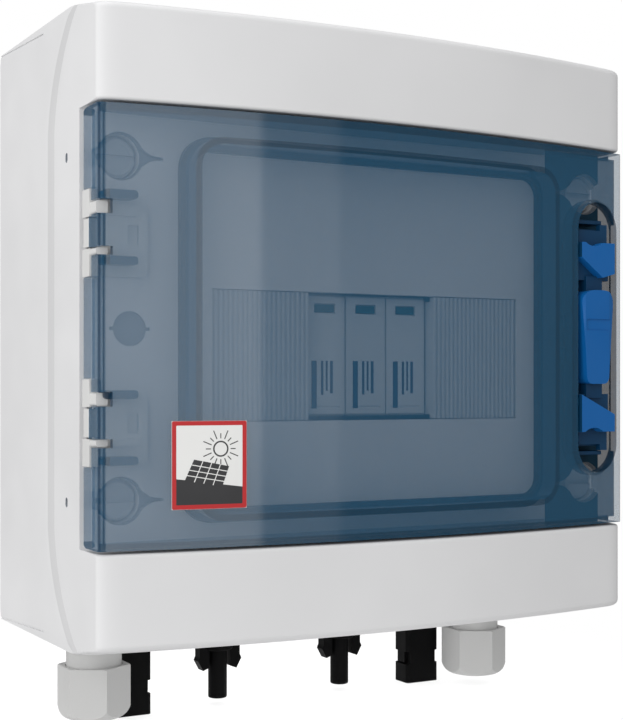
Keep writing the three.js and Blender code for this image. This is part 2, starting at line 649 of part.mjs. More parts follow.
function pvSocket(x) {
  const half = 8;
  const body = prism("z", roundedRectangle(x, PV.y, half, 5.3, 1.6), [-148, -116], 3);
  const notches = [-1, 1].map((side) => {
    const edge = x + side * half;
    return block([edge - 1.7, edge + 1.7], [PV.y - 6, PV.y + 6], [-140, -134.6]);
  });
  return cut(join(pvShoulder(x), body), ...notches, rod("z", [x, PV.y], 4.1, [-150, -124], 16));
}

// ---------------------------------------------------------------- label, wires and caps
function label() {
  const steps = 6;
  const points = [];
  for (let i = 0; i <= steps; i++) {
    const x = LABEL.left + ((LABEL.right - LABEL.left) * i) / steps;
    points.push([x, frontY(x) - GAP - LABEL.thickness]);
    points.unshift([x, frontY(x) - GAP]);
  }
  return prism("z", polygon(...points), [LABEL.bottom, LABEL.top]);
}

function tube(route, steps) {
  const path = new THREE.CatmullRomCurve3(route.map((point) => new THREE.Vector3(...point)));
  const section = new THREE.Shape().absarc(0, 0, WIRE.radius, 0, 2 * Math.PI);
  return solid(new THREE.ExtrudeGeometry(section, { steps, curveSegments: 4, extrudePath: path }));
}

function dcWire(connectorX, endX) {
  const across = (part) => connectorX + (endX - connectorX) * part;
  const low = MODULE.z - 45;
  return tube(
    [
      [connectorX, PV.y, -100.7],
      [connectorX, PV.y, -94],
      [across(0.12), PV.y - 3, -87],
      [across(0.5), (PV.y + WIRE.y) / 2, -77],
      [across(0.9), WIRE.y + 3, -67],
      [endX, WIRE.y, low - 5],
      [endX, WIRE.y, low + 8],
    ],
    14,
  );
}

function earthWire() {
  const top = MODULE.z + 45;
  return tube(
    [
      [0, WIRE.y, top - 8],
      [0, WIRE.y, top - 2],
      [0, WIRE.y, top + 5],
      [-12, WIRE.y, top + 16],
      [-33, WIRE.y, top + 16],
      [-45, WIRE.y, top],
      [-45, WIRE.y, MODULE.z + 26],
      [-45, WIRE.y, MODULE.z + 16],
    ],
    18,
  );
}

function wallHoleCap(sx, sz) {
  const centre = [sx * WALL_HOLE.x, sz * WALL_HOLE.z];
  return join(
    rod("y", centre, WALL_HOLE.radius + 2.4, [-5.3, -3.3], 16),
    rod("y", centre, WALL_HOLE.radius - GAP, [-4, -0.6], 16),
  );
}

// ---------------------------------------------------------------- the assembly
const combinerBox = new THREE.Group();

function add(name, shape, material) {
  const mesh = new THREE.Mesh(geometryOf(shape), material);
  mesh.name = name;
  combinerBox.add(mesh);
}

add("base_box", baseBox(), lightGrey);
add("front_cover", frontCover(), lightGrey);
add("cover_seal", coverSeal(), rubber);
add("door", door(), smokeBlue);
add("door_seal", doorSeal(), rubber);
add("latch_grip", latchGrip(), latchBlue);
add("latch_carrier", latchCarrier(), darkBlue);
add("din_rail", dinRail(), steel);
add("spd_base", spdBase(), moduleGrey);
add("earth_terminal", earthTerminal(), earthGreen);
add("door_label", label(), labelWhite);
add("earth_wire", earthWire(), earthGreen);

for (const [word, side] of [["upper", 1], ["lower", -1]]) {
  add(`hinge_block_${word}`, hingeBlock(side), lightGrey);
  add(`hinge_pin_${word}`, hingePin(side), steel);
  add(`latch_slider_${word}`, latchSlider(side), latchBlue);
  add(`latch_spring_${word}`, latchSpring(side), steel);
}

for (const [word, side] of [["left", -1], ["right", 1]]) {
  add(`blanking_strip_${word}`, blankingStrip(side), moduleGrey);
  add(`rail_screw_${word}`, railScrew(side), steel);
  add(`gland_body_${word}`, glandBody(side), glandGrey);
  add(`gland_nut_${word}`, glandNut(side), glandGrey);
  add(`gland_seal_${word}`, glandSeal(side), rubber);
  add(`gland_locknut_${word}`, glandLocknut(side), glandGrey);
  add(`pv_socket_${word}`, pvSocket(side * PV.wideX), black);
  add(`pv_socket_nut_${word}`, pvNut(side * PV.wideX), black);
  add(`pv_plug_${word}`, pvPlug(side * PV.slimX), black);
  add(`pv_plug_nut_${word}`, pvNut(side * PV.slimX), black);
  const wireColour = side < 0 ? wireRed : black;
  add(`dc_wire_outer_${word}`, dcWire(side * PV.wideX, terminalX(side, side)), wireColour);
  add(`dc_wire_inner_${word}`, dcWire(side * PV.slimX, terminalX(side, -side)), wireColour);
  for (const [height, sz] of [["top", 1], ["bottom", -1]]) {
    add(`cover_screw_${height}_${word}`, coverScrew(side, sz), lightGrey);
    add(`wall_hole_cap_${height}_${word}`, wallHoleCap(side, sz), rubber);
  }
}

[-1, 0, 1].forEach((pole, i) => {
  add(`spd_plug_${i + 1}`, spdPlug(pole), moduleGrey);
  add(`spd_flag_${i + 1}`, spdFlag(pole), flagGreen);
});

export default combinerBox;
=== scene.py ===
from math import asin, cos, degrees, hypot, pi, radians, sin, sqrt
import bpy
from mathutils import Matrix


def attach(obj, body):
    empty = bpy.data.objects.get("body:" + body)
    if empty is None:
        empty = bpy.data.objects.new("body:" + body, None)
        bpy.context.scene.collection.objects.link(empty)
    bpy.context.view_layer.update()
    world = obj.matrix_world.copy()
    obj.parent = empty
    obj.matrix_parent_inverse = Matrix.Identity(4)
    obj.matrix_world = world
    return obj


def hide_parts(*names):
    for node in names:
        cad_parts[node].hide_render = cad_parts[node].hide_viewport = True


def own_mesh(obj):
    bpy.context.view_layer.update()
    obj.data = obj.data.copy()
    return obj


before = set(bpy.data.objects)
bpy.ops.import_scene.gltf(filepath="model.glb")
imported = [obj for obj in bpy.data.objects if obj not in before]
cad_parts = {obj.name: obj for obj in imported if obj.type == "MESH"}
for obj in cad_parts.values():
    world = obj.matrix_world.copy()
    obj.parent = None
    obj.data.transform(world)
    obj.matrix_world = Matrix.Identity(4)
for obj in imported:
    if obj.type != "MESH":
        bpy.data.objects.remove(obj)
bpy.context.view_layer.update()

from types import SimpleNamespace as Sizes

import bmesh
import bpy
from mathutils import Vector

# ---- driving dimensions, in millimetres
MM = 0.001
GAP = 0.3
HALF_WIDTH = 110.5
HALF_HEIGHT = 111.6
SIDE_DEPTH = 111.4
BOW = 9.93
CORNER = 8.0
WALL = 2.9
# How the body closes above its flat front: (below the top, front inset, side inset, corner depth).
CROWN = (
    (6.8, 0, 0, 0.4),
    (6.1, 0.08, 0, 0.42),
    (5.4, 0.4, 0, 0.47),
    (4.95, 0.8, 0, 0.54),
    (4.6, 1.3, 0, 0.62),
    (4.38, 1.9, 0, 0.7),
    (4.3, 2.6, 0, 0.75),
    (0.4, 22, 0.3, 1),
    (0, 24, 1, 1),
)
SEAM = Sizes(y=-66.4, straight=70, bend_y=-70, bend_z=95, top_y=-93, top_z=112, gap=0.1)
# The base's bend to the joint: (distance behind it, depth).
BEND = ((10.4, -0.5), (10, -0.01), (7.5, 0.08), (5, 0.3), (2.5, 0.66), (0, 1.15), (-3, 1.15))
RECESS = Sizes(half_height=74.6, panel_y=-101.9, panel=2.8, side=106.2, step_y=-92.9)
DOOR = Sizes(half_height=73.6, sheet=2.2, corner=3.0, rear_y=-95.4, lip_y=-106.0)
RING = Sizes(half_width=77, half_height=65, radius=10, wall=2.2, rear_y=-105.4)
AXIS = Sizes(x=-108.6, y=-97.3, bead=1.9, bore=1.0)
HINGE = Sizes(z=31.7, half=14.55, tab=4.75, plate_x=-90, plate=1.2)
SLOT = Sizes(x=96.3, half=11.1, half_height=53.3)
LATCH = Sizes(x=94.8, half=8.2, front=-116.8, back=-109.6, grip=18.4)
BOLT = Sizes(step_x=98.9, end_x=102.4, low_z=42.3, high_z=44.7)
SCREW = Sizes(x=99.2, z=58, recess=7.6, floor=-93, head=6.9, shank=2.6, hole=3, post=9.4, boss=5.5, bore=2.9)
WINDOW = Sizes(half_width=65.5, half_height=23.25, z=-8.6)
MODULE = Sizes(pitch=17.5, z=-8, half_height=22.3, front=-96.4, back=-50.3)
RAIL = Sizes(z=-8, front=-32, depth=7.5, screw_x=80)
GLAND = Sizes(x=87, y=-42.4, neck=10.4, thread=9.9, bore=6.4, flats=24)
PV = Sizes(y=-26.8, slim_x=28.5, wide_x=67.4, hole=6.3, thread=6)
LABEL = Sizes(left=-86.5, right=-60.4, top=-31, bottom=-60.5, thickness=0.3)
WIRE_Y = -56
KNOCKOUT_X = 96
SIDE_MARK = Sizes(y=-79.6, z=59.6)
AHEAD = -140  # well in front of the box
IN_FRONT = -110  # between the recessed panel and the door
WALL_HOLE = Sizes(x=80, z=95, radius=2.6)
WIDE = HALF_WIDTH + 10
TALL = HALF_HEIGHT + 10
ACROSS = (-WIDE, WIDE)
UPRIGHT = (-TALL, TALL)
BOTH = (-1, 1)
CORNERS = [(sx, sz) for sx in BOTH for sz in BOTH]
WORD_X = {-1: "left", 1: "right"}
WORD_Z = {-1: "lower", 1: "upper"}
WORD_CORNER = {-1: "bottom", 1: "top"}


def adjust(thing, **settings):
    """Gives a node or a modifier its settings."""
    for key, value in settings.items():
        setattr(thing, key, value)
    return thing


# ---- materials
NOISE_SPAN = (0.3, 0.7)  # the middle of a noise's range, where nearly all of its values lie


class Nodes:
    """A material's node tree, with short calls for the nodes that the finishes share."""

    def __init__(self, name):
        self.material = bpy.data.materials.new(name)
        self.material.use_nodes = True
        self.tree = self.material.node_tree
        self.tree.nodes.clear()
        self.shader = self.new("BsdfPrincipled")
        self.output = self.new("OutputMaterial")
        self.link(self.shader, "BSDF", self.output, "Surface")
        self.place = self.new("TexCoord")

    def new(self, kind, inputs=(), **settings):
        """Adds a shader node, with the values of its inputs and its settings."""
        node = adjust(self.tree.nodes.new("ShaderNode" + kind), **settings)
        for key, value in dict(inputs).items():
            node.inputs[key].default_value = value
        return node

    def link(self, source, out_socket, target, in_socket):
        self.tree.links.new(source.outputs[out_socket], target.inputs[in_socket])

    def noise(self, scale, detail, stretch=(1, 1, 1)):
        mapping = self.new("Mapping", {"Scale": stretch})
        noise = self.new("TexNoise", {"Scale": scale, "Detail": detail})
        self.link(self.place, "Object", mapping, "Vector")
        self.link(mapping, "Vector", noise, "Vector")
        return noise

    def colour(self, source, colour, low, high):
        """Lets the colour drift along a noise between two shades of itself."""
        ramp = self.new("ValToRGB")
        for element, position, factor in zip(ramp.color_ramp.elements, NOISE_SPAN, (low, high)):
            element.position = position
            element.color = (*(min(1.0, channel * factor) for channel in colour), 1)
        self.link(source, "Fac", ramp, "Fac")
        self.link(ramp, "Color", self.shader, "Base Color")

    def roughness(self, source, low, high):
        start, stop = NOISE_SPAN
        spread = self.new("MapRange", {"From Min": start, "From Max": stop, "To Min": low, "To Max": high})
        self.link(source, "Fac", spread, "Value")
        self.link(spread, "Result", self.shader, "Roughness")

    def bump(self, source, strength, distance):
        bump = self.new("Bump", {"Strength": strength, "Distance": distance})
        self.link(source, "Fac", bump, "Height")
        self.link(bump, "Normal", self.shader, "Normal")

    def set(self, **values):
        for key, value in values.items():
            self.shader.inputs[key.replace("_", " ")].default_value = value


def linear(*screen):
    """A screen colour from 0 to 255 as linear light."""
    parts = (c / 255 for c in screen)
    return tuple(c / 12.92 if c <= 0.04045 else ((c + 0.055) / 1.055) ** 2.4 for c in parts)


def moulded(name, colour, roughness, grain=0.12, drift=0.03, gloss=0.5):
    """Moulded plastic: a fine spark-eroded grain, a slow drift in colour and a little uneven gloss."""
    m = Nodes(name)
    m.colour(m.noise(14, 3), colour, 1 - drift, 1 + drift)
    m.roughness(m.noise(60, 5), roughness - 0.05, roughness + 0.06)
    m.bump(m.noise(2600, 2), grain, 0.00006)
    m.set(IOR=1.5, Specular_IOR_Level=gloss)
    return m.material


def metal(name, colour, roughness, stretch):
    """Plated or drawn metal with fine lines along its length."""
    m = Nodes(name)
    lines = m.noise(900, 6, stretch)
    m.colour(lines, colour, 0.92, 1.08)
    m.roughness(m.noise(120, 5), roughness - 0.06, roughness + 0.1)
    m.bump(lines, 0.15, 0.00005)
    m.set(Metallic=1.0)
    return m.material


def tinted(name, colour, opacity, roughness, gloss):
    """Smoke-blue polycarbonate, seen through, with faint handling haze and slow moulding waves."""
    m = Nodes(name)
    m.colour(m.noise(9, 3), colour, 0.96, 1.04)
    m.roughness(m.noise(220, 6), roughness, roughness + 0.035)
    m.bump(m.noise(26, 1), 0.02, 0.0004)
    m.set(IOR=2.0, Alpha=opacity, Specular_IOR_Level=gloss)
    return m.material


def rubbery(name, colour):
    """Soft matt rubber with a dusty bloom."""
    m = Nodes(name)
    m.colour(m.noise(90, 6), colour, 0.8, 1.35)
    m.roughness(m.noise(400, 4), 0.72, 0.92)
    m.bump(m.noise(3000, 3), 0.2, 0.0001)
    return m.material


HOUSING = moulded("housing_grey", linear(231, 231, 232), 0.44)
# The screws' grey, set darker than the housing as painted shade of the recesses they sit in.
SCREW_GREY_PAINTED_SHADE = moulded("screw_painted_shade_grey", linear(196, 200, 205), 0.4)
# Painted shade: a darker grey on the base's bend before the joint with the cover.
BEND_PAINTED_SHADE = moulded("bend_painted_shade", linear(212, 212, 213), 0.5)
# Painted shade: a deeper grey in the screw recesses, the small marks and on the hinge plates' narrow walls.
RECESS_PAINTED_SHADE = moulded("recess_painted_shade", linear(150, 156, 163), 0.5)
HINGE_GREY = moulded("hinge_grey", linear(222, 222, 221), 0.42)
SMOKE = tinted("smoke_sheet", (0.02, 0.14, 0.275), 0.365, 0.05, 1.0)
SMOKE_INNER = tinted("smoke_inner", (0.02, 0.14, 0.275), 0.365, 0.12, 0.05)
SMOKE_EDGE = tinted("smoke_edge", (0.008, 0.045, 0.095), 0.8, 0.12, 0.15)
# Painted shadow: a dark tinted sheet on the panel behind the latch, where the door and its ring shade it.
LATCH_PAINTED_SHADOW = moulded("latch_painted_shadow_blue", (0.012, 0.06, 0.11), 0.5, 0.06, gloss=0.2)
LATCH_BLUE = moulded("latch_blue", linear(14, 98, 170), 0.36, 0.08, gloss=0.35)
# The carrier's own dark blue, also used as painted shade on the sliders' rear parts and on the strikes.
CARRIER_BLUE_AND_PAINTED_SHADE = moulded("carrier_blue", linear(14, 62, 98), 0.4, 0.08, gloss=0.3)
MODULE_GREY = moulded("module_grey", linear(214, 217, 220), 0.48)
BLANK_GREY = moulded("blanking_grey", linear(206, 210, 214), 0.5)
FLAG_TEAL = moulded("flag_teal", linear(0, 76, 84), 0.4, 0.03, gloss=0.2)
GLAND_GREY = moulded("gland_grey", linear(199, 199, 198), 0.5, 0.16)
CONNECTOR_BLACK = moulded("connector_black", linear(7, 7, 8), 0.5, 0.1, drift=0.12, gloss=0.1)
EARTH_GREEN = moulded("earth_green", linear(84, 150, 60), 0.45)
WIRE_RED = moulded("wire_red", linear(168, 34, 30), 0.4, 0.05, drift=0.06)
WIRE_BLACK = moulded("wire_black", linear(34, 34, 36), 0.42, 0.05, drift=0.1)
LABEL_WHITE = moulded("label_white", linear(242, 242, 240), 0.36, 0.02, drift=0.01)
LABEL_RED = moulded("label_red", linear(196, 24, 30), 0.36, 0.02)
LABEL_DARK = moulded("label_dark", linear(52, 52, 54), 0.36, 0.02, drift=0.08)
PRINT_GREY = moulded("print_grey", linear(22, 58, 92), 0.5, 0.02, gloss=0.2)
RUBBER = rubbery("seal_rubber", linear(44, 44, 46))
ZINC = metal("zinc_steel", (0.62, 0.63, 0.65), 0.32, (0.05, 1, 1))
SPRING_STEEL = metal("spring_steel", (0.55, 0.56, 0.58), 0.25, (1, 1, 0.1))


# ---- solids in mesh code
def add(name, data):
    """Puts a new object in the scene."""
    obj = bpy.data.objects.new(name, data)
    bpy.context.scene.collection.objects.link(obj)
    return obj


def solid(vertices, faces):
    """An object from points in millimetres, its faces turned outward."""
    mesh = bpy.data.meshes.new("solid")
    mesh.from_pydata([[c * MM for c in v] for v in vertices], [], faces)
    made = bmesh.new()
    made.from_mesh(mesh)
    bmesh.ops.recalc_face_normals(made, faces=made.faces)
    made.to_mesh(mesh)
    made.free()
    return add("solid", mesh)


def settle(obj):
    """Replaces the object's mesh by what its modifiers make of it."""
    graph = bpy.context.evaluated_depsgraph_get()
    made = bpy.data.meshes.new_from_object(obj.evaluated_get(graph))
    old = obj.data
    obj.modifiers.clear()
    obj.data = made
    bpy.data.meshes.remove(old)


def modify(obj, kind, **settings):
    """Adds a modifier with its settings."""
    adjust(obj.modifiers.new(kind.lower(), kind), **settings)


def combine(target, tools, operation):
    """Applies one boolean after another and removes each tool that it used."""
    for tool in tools:
        modify(target, "BOOLEAN", object=tool, operation=operation, solver="MANIFOLD")
        settle(target)
        used = tool.data
        bpy.data.objects.remove(tool)
        bpy.data.meshes.remove(used)
    return target


def cut(target, *tools):
    return combine(target, tools, "DIFFERENCE")


def join(target, *tools):
    return combine(target, tools, "UNION")


def meet(target, *tools):
    return combine(target, tools, "INTERSECT")


# An outline is drawn as (y, z) along x, (x, z) along y and (x, y) along z.
LAY = {"x": lambda a, b, t: (t, a, b), "y": lambda a, b, t: (a, t, b), "z": lambda a, b, t: (a, b, t)}


def loft(rings):
    """A closed solid through rings with equal numbers of points."""
    count = len(rings[0])
    vertices = [point for ring in rings for point in ring]
    faces = [list(range(count)), list(range(len(vertices) - count, len(vertices)))]
    for level in range(len(rings) - 1):
        for i in range(count):
            a, b = level * count + i, level * count + (i + 1) % count
            faces.append([a, b, b + count, a + count])
    return solid(vertices, faces)


def prism(axis, outline, span):
    return loft([[LAY[axis](a, b, t) for a, b in outline] for t in span])


def block(x, y, z):
    return prism("z", [(x[0], y[0]), (x[1], y[0]), (x[1], y[1]), (x[0], y[1])], z)


def circle(sides, radius=1, centre=(0, 0)):
    """Points round a circle."""
    turns = (2 * pi * k / sides for k in range(sides))
    return [(centre[0] + radius * cos(t), centre[1] + radius * sin(t)) for t in turns]


def lathe(axis, centre, profile, sides=64):
    """A solid of revolution: its (radius, height) profile is a loop, or starts and ends on the axis."""
    vertices, faces, starts = [], [], []
    for radius, height in profile:
        starts.append(len(vertices))
        ring = circle(sides, radius, centre) if radius else [centre]
        vertices += [LAY[axis](*across, height) for across in ring]
    pairs = list(zip(range(len(profile)), range(1, len(profile))))
    if profile[0][0] > 0:
        pairs.append((len(profile) - 1, 0))
    for low, high in pairs:
        for k in range(sides):
            n = (k + 1) % sides
            face = [starts[low] + k, starts[low] + n, starts[high] + n, starts[high] + k]
            if profile[low][0] == 0:
                face = [starts[low], starts[high] + n, starts[high] + k]
            elif profile[high][0] == 0:
                face = [starts[low] + k, starts[low] + n, starts[high]]
            faces.append(face)
    return solid(vertices, faces)


def rod(axis, centre, radius, span, sides=48):
    return lathe(axis, centre, [(0, span[0]), (radius, span[0]), (radius, span[1]), (0, span[1])], sides)


def grooves(radius, depth, half, pitch, start, stop):
    """A thread's outline as (radius, height) pairs, one shallow groove after another."""
    made = []
    while start < stop:
        made += [(radius, start), (radius - depth, start + half), (radius, start + 2 * half)]
        start += pitch
    return made


def arc(centre, radius, start, stop, steps):
    turns = [radians(start + (stop - start) * k / steps) for k in range(steps + 1)]
    return [(centre[0] + radius * cos(t), centre[1] + radius * sin(t)) for t in turns]


def rounded(centre_a, centre_b, half_a, half_b, radius, steps=10):
    """A rectangle with round corners, anticlockwise."""
    a, b = half_a - radius, half_b - radius
    points = []
    for sign_a, sign_b, start in ((1, -1, -90), (1, 1, 0), (-1, 1, 90), (-1, -1, 180)):
        points += arc((centre_a + sign_a * a, centre_b + sign_b * b), radius, start, start + 90, steps)
    return points


def bezier(points, steps):
    """A quadratic curve without its first point."""
    made = []
    for k in range(1, steps + 1):
        t = k / steps
        weights = ((1 - t) ** 2, 2 * t * (1 - t), t * t)
        made.append(tuple(sum(w * p[i] for w, p in zip(weights, points)) for i in (0, 1)))
    return made


def span_of(side, start, stop):
    return sorted((side * start, side * stop))


def ends(centre, half):
    return (centre - half, centre + half)


# ---- finishing a piece
SHARP = radians(42)


def add_rounding(obj, width, segments, flat, sharp, **more):
    """Merges flat faces, then rounds the edges that turn by more than the sharp angle."""
    modify(obj, "WELD", merge_threshold=0.000004)
    modify(obj, "DECIMATE", decimate_type="DISSOLVE", angle_limit=radians(flat))
    edges = {"limit_method": "ANGLE", "angle_limit": radians(sharp), **more}
    modify(obj, "BEVEL", width=width * MM, segments=segments, **edges)


def soften(obj, width, segments):
    """Rounds every hard edge a little, as moulded and machined edges are."""
    add_rounding(obj, width, segments, 0.04, 32, miter_outer="MITER_ARC")
    settle(obj)


def finish(obj, name, body, materials, slot, nodes=(), soft=0.3, segments=3):
    """Names and shades a piece, ties it to its body and puts it in its CAD nodes' place; its slot is not
    used.
    """
    if soft:
        soften(obj, soft, segments)
    obj.name = name
    obj.data.name = name
    obj.data.materials.clear()
    for material in materials if isinstance(materials, list) else [materials]:
        obj.data.materials.append(material)
    obj.data.polygons.foreach_set("use_smooth", [True] * len(obj.data.polygons))
    obj.data.set_sharp_from_angle(angle=SHARP)
    modify(obj, "WEIGHTED_NORMAL", keep_sharp=True, weight=80)
    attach(obj, body)
    if nodes:
        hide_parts(*nodes)


def mark(obj, rule):
    """Gives each face the material that the rule picks from the place of its centre and the face."""
    for face in obj.data.polygons:
        face.material_index = int(rule(*(c / MM for c in face.center), face))


# ---- the bowed body
def front_at(x):
    return -(SIDE_DEPTH + BOW * (1 - (x / HALF_WIDTH) ** 2))


def plan(side_inset, front_inset, corner, back_y, corner_depth=None):
    """The body from above, set in from its sides and its front, back to back_y."""
    depth = corner * 0.4 if corner_depth is None else corner_depth
    half = HALF_WIDTH - side_inset
    start = half - corner
    corner_y = front_at(half) + front_inset
    tangent_y = -(SIDE_DEPTH + BOW) - BOW * start**2 / HALF_WIDTH**2 + front_inset
    left, right = (-start, front_at(start) + front_inset), (start, front_at(start) + front_inset)
    points = [(-half, back_y), (-half, corner_y + depth)]
    points += bezier([(-half, corner_y + depth), (-half, corner_y), left], 10)
    points += bezier([left, (0, tangent_y), right], 48)
    points += bezier([right, (half, corner_y), (half, corner_y + depth)], 10)
    return points + [(half, back_y)]


def body(shrink, back_y=0.0):
    """The whole body, or its hollow when shrunk by the wall."""
    corner = CORNER - shrink
    rings = []
    for side, levels in ((-1, reversed(CROWN)), (1, CROWN)):
        for below, front, inset, depth in levels:
            outline = plan(shrink + inset, shrink + front, corner, back_y, corner * depth)
            height = side * (HALF_HEIGHT - shrink - below)
            rings.append([(x, y, height) for x, y in outline])
    return loft(rings)


def seam_curve(shift):
    """The joint between base and cover from its upper end to where it runs straight down the side."""
    seam, bend, top = SEAM.y + shift, SEAM.bend_y + shift, SEAM.top_y + shift
    curve = bezier([(top, SEAM.top_z), (bend, SEAM.bend_z), (seam, SEAM.straight)], 16)
    return [(top, SEAM.top_z), *curve]


def behind_seam(shift):
    """Everything behind the joint between base and cover, moved by shift along Y."""
    upper = [(SEAM.top_y + shift - 4, TALL + 10), *seam_curve(shift)]
    outline = [(10, -TALL - 10), (10, TALL + 10), *upper]
    outline += [(y, -z) for y, z in reversed(upper)]
    return prism("x", outline, (-HALF_WIDTH - 5, HALF_WIDTH + 5))


def crown_drop(x, y):
    """How far the body's top lies below its full height, at a place seen from above."""
    inset = y - front_at(x)
    for (below, near, *_), (above, far, *_) in zip(CROWN, CROWN[1:]):
        if near <= inset < far:
            return below + (above - below) * (inset - near) / (far - near)
    return 0


def bend_to_seam(obj):
    """Bends the base's outside gently inwards on its way to the joint with the cover."""
    for side in BOTH:
        rings = []
        for shift, depth in BEND[:-1]:
            ahead, behind = seam_curve(BEND[-1][0]), seam_curve(shift)
            outline = ahead + [(y, -z) for y, z in reversed(ahead)]
            outline += [(y, -z) for y, z in behind] + list(reversed(behind))
            rings.append([(side * (HALF_WIDTH - depth), y, z) for y, z in outline])
        obj = cut(obj, loft(rings))
    for sz in BOTH:
        rings = []
        for step in range(-12, 13):
            x = WIDE * step / 12
            profile = [(SEAM.top_y + shift, depth) for shift, depth in BEND]
            outline = [(y, HALF_HEIGHT - crown_drop(x, y) - depth) for y, depth in profile]
            outline += [(profile[-1][0], TALL), (profile[0][0], TALL)]
            rings.append([(x, y, sz * z) for y, z in outline])
        obj = cut(obj, loft(rings))
    return obj


def behind_joint(place):
    """How far a place on the outside lies behind the joint between base and cover."""
    _, y, z = (c / MM for c in place)
    line = seam_curve(0)
    for (upper_y, upper_z), (lower_y, lower_z) in zip(line, line[1:]):
        if lower_z <= abs(z) < upper_z:
            return y - lower_y - (upper_y - lower_y) * (abs(z) - lower_z) / (upper_z - lower_z)
    return y - SEAM.y


def bend_face(x, _, z, face):
    """The bend before the joint gets a painted soft shadow: a darker grey on its faces."""
    corners = (face.id_data.vertices[i].co for i in face.vertices)
    outside = abs(x) > HALF_WIDTH - 1.6 or abs(z) > HALF_HEIGHT - 3.2
    return outside and all(-0.6 < behind_joint(corner) < 8.2 for corner in corners)


def base_box():
    floor = -3
    base = cut(meet(body(0), behind_seam(0)), body(WALL, floor))
    for sx, sz in CORNERS:
        x, z = sx * SCREW.x, sz * SCREW.z
        rib = span_of(sx, SCREW.x + 4, HALF_WIDTH - WALL + 1)
        base = join(base, rod("y", (x, z), SCREW.boss, (RECESS.step_y + 3.2, floor + 1)))
        base = join(base, block(rib, (-61, floor + 1), ends(z, 1.5)))
        base = cut(base, rod("y", (x, z), SCREW.bore, (-95, -50)))
        base = cut(base, rod("y", (sx * WALL_HOLE.x, sz * WALL_HOLE.z), WALL_HOLE.radius, (floor - 1, 1)))
    for side in BOTH:
        boss = (side * RAIL.screw_x, RAIL.z)
        rail_back = RAIL.front + RAIL.depth + GAP
        base = join(base, rod("y", boss, 6, (rail_back, floor + 1)))
        base = cut(base, rod("y", boss, 2.3, (rail_back - 1, -12)))
        base = cut(base, rod("z", (side * GLAND.x, GLAND.y), GLAND.neck - 0.2, (-TALL, -105)))
        for x in (PV.slim_x, PV.wide_x):
            base = cut(base, rod("z", (side * x, PV.y), PV.hole, (-TALL, -105)))
        for sz in BOTH:
            x = span_of(side, HALF_WIDTH - 0.6, WIDE)
            base = cut(base, prism("x", crease(sz), x))
    return base


def crease(sz):
    """The fine moulding line that runs back along the side, a few millimetres from its top or bottom edge."""
    front, back, width = (-54, 107.8), (2, 110.5), 0.55
    low = [(y, sz * z) for y, z in (front, back)]
    high = [(y, sz * (z + width)) for y, z in (back, front)]
    return low + high


def teardrop(sx, sz):
    """The screw's recess in the panel, with a thin tail that points to the middle of the box."""
    x, z = sx * SCREW.x, sz * SCREW.z
    radius = SCREW.recess + 0.6
    upper = [(-15.4, 0.5), (-12.5, 0.7), (-10.4, 1.3), (-9.0, 2.2), (-7.7, 3.2)]
    points = [(x + sx * reach, z - half) for reach, half in upper]
    lean = degrees(asin(3.2 / radius))
    sweep = arc((0, 0), radius, 180 + lean, 540 - lean, 30)
    points += [(x + sx * a, z + b) for a, b in sweep]
    return points + [(x + sx * reach, z + half) for reach, half in reversed(upper)]


def knockout(side):
    """A round mark in the panel with two short ears."""
    depth = (IN_FRONT, RECESS.panel_y + 1.1)
    made = rod("y", (side * KNOCKOUT_X, 0), 5.9, depth)
    for reach in BOTH:
        made = join(made, block(ends(side * KNOCKOUT_X + reach * 6.2, 1.1), depth, ends(0, 0.6)))
    return made


def front_cover():
    panel_y, panel = RECESS.panel_y, RECESS.panel
    panel_back, behind_panel = panel_y + panel, RECESS.step_y + panel
    inside_wall, strip_wall = RECESS.side - panel, RECESS.half_height + panel
    tall, strip = (-RECESS.half_height, RECESS.half_height), (-strip_wall, strip_wall)
    hollow = cut(body(WALL, 10), block(ACROSS, (AHEAD, panel_back), strip))
    cover = cut(body(0), behind_seam(-SEAM.gap))
    for sx in BOTH:
        hollow = cut(hollow, block(span_of(sx, inside_wall, WIDE), (AHEAD, behind_panel), strip))
        cover = cut(cover, block(span_of(sx, RECESS.side, WIDE), (AHEAD, RECESS.step_y), tall))
    cover = cut(
        cover,
        hollow,
        block(ACROSS, (AHEAD, panel_y), tall),
        block(ends(0, WINDOW.half_width), (AHEAD, panel_back + 1), ends(WINDOW.z, WINDOW.half_height)),
    )
    for sx, sz in CORNERS:
        centre = (sx * SCREW.x, sz * SCREW.z)
        between_sides = block(ends(0, RECESS.side), (-130, 0), UPRIGHT)
        post = meet(rod("y", centre, SCREW.post, (panel_y, behind_panel)), between_sides)
        cover = cut(join(cover, post), rod("y", centre, SCREW.recess, (IN_FRONT, SCREW.floor)))
        cover = cut(cover, rod("y", centre, SCREW.hole, (IN_FRONT, -80)))
        cover = cut(cover, prism("y", teardrop(sx, sz), (IN_FRONT, panel_y + 2.4)))
        side_mark = rounded(SIDE_MARK.y, sz * SIDE_MARK.z, 1.1, 1.7, 1.0, 5)
        cover = cut(cover, prism("x", side_mark, span_of(sx, HALF_WIDTH - 1.4, WIDE)))
    for side in BOTH:
        cover = cut(cover, knockout(side))
    return cover


def round_strips(obj):
    """Rounds the long inner edges of the two front strips, beside the door."""
    shape = bmesh.new()
    shape.from_mesh(obj.data)

    def beside_door(vertex):
        x, y, z = (c / MM for c in vertex.co)
        on_strip = abs(abs(z) - RECESS.half_height) < 0.02 and y < RECESS.step_y - 1
        return on_strip and (abs(x) > 109 or y < front_at(x) + 6)

    def outer(edge):
        steep = len(edge.link_faces) == 2 and edge.calc_face_angle(0) > radians(50)
        return steep and all(beside_door(v) for v in edge.verts)

    edges = [edge for edge in shape.edges if outer(edge)]
    bmesh.ops.bevel(
        shape, geom=edges, offset=2.4 * MM, segments=6, profile=0.5, affect="EDGES", clamp_overlap=True
    )
    shape.to_mesh(obj.data)
    shape.free()


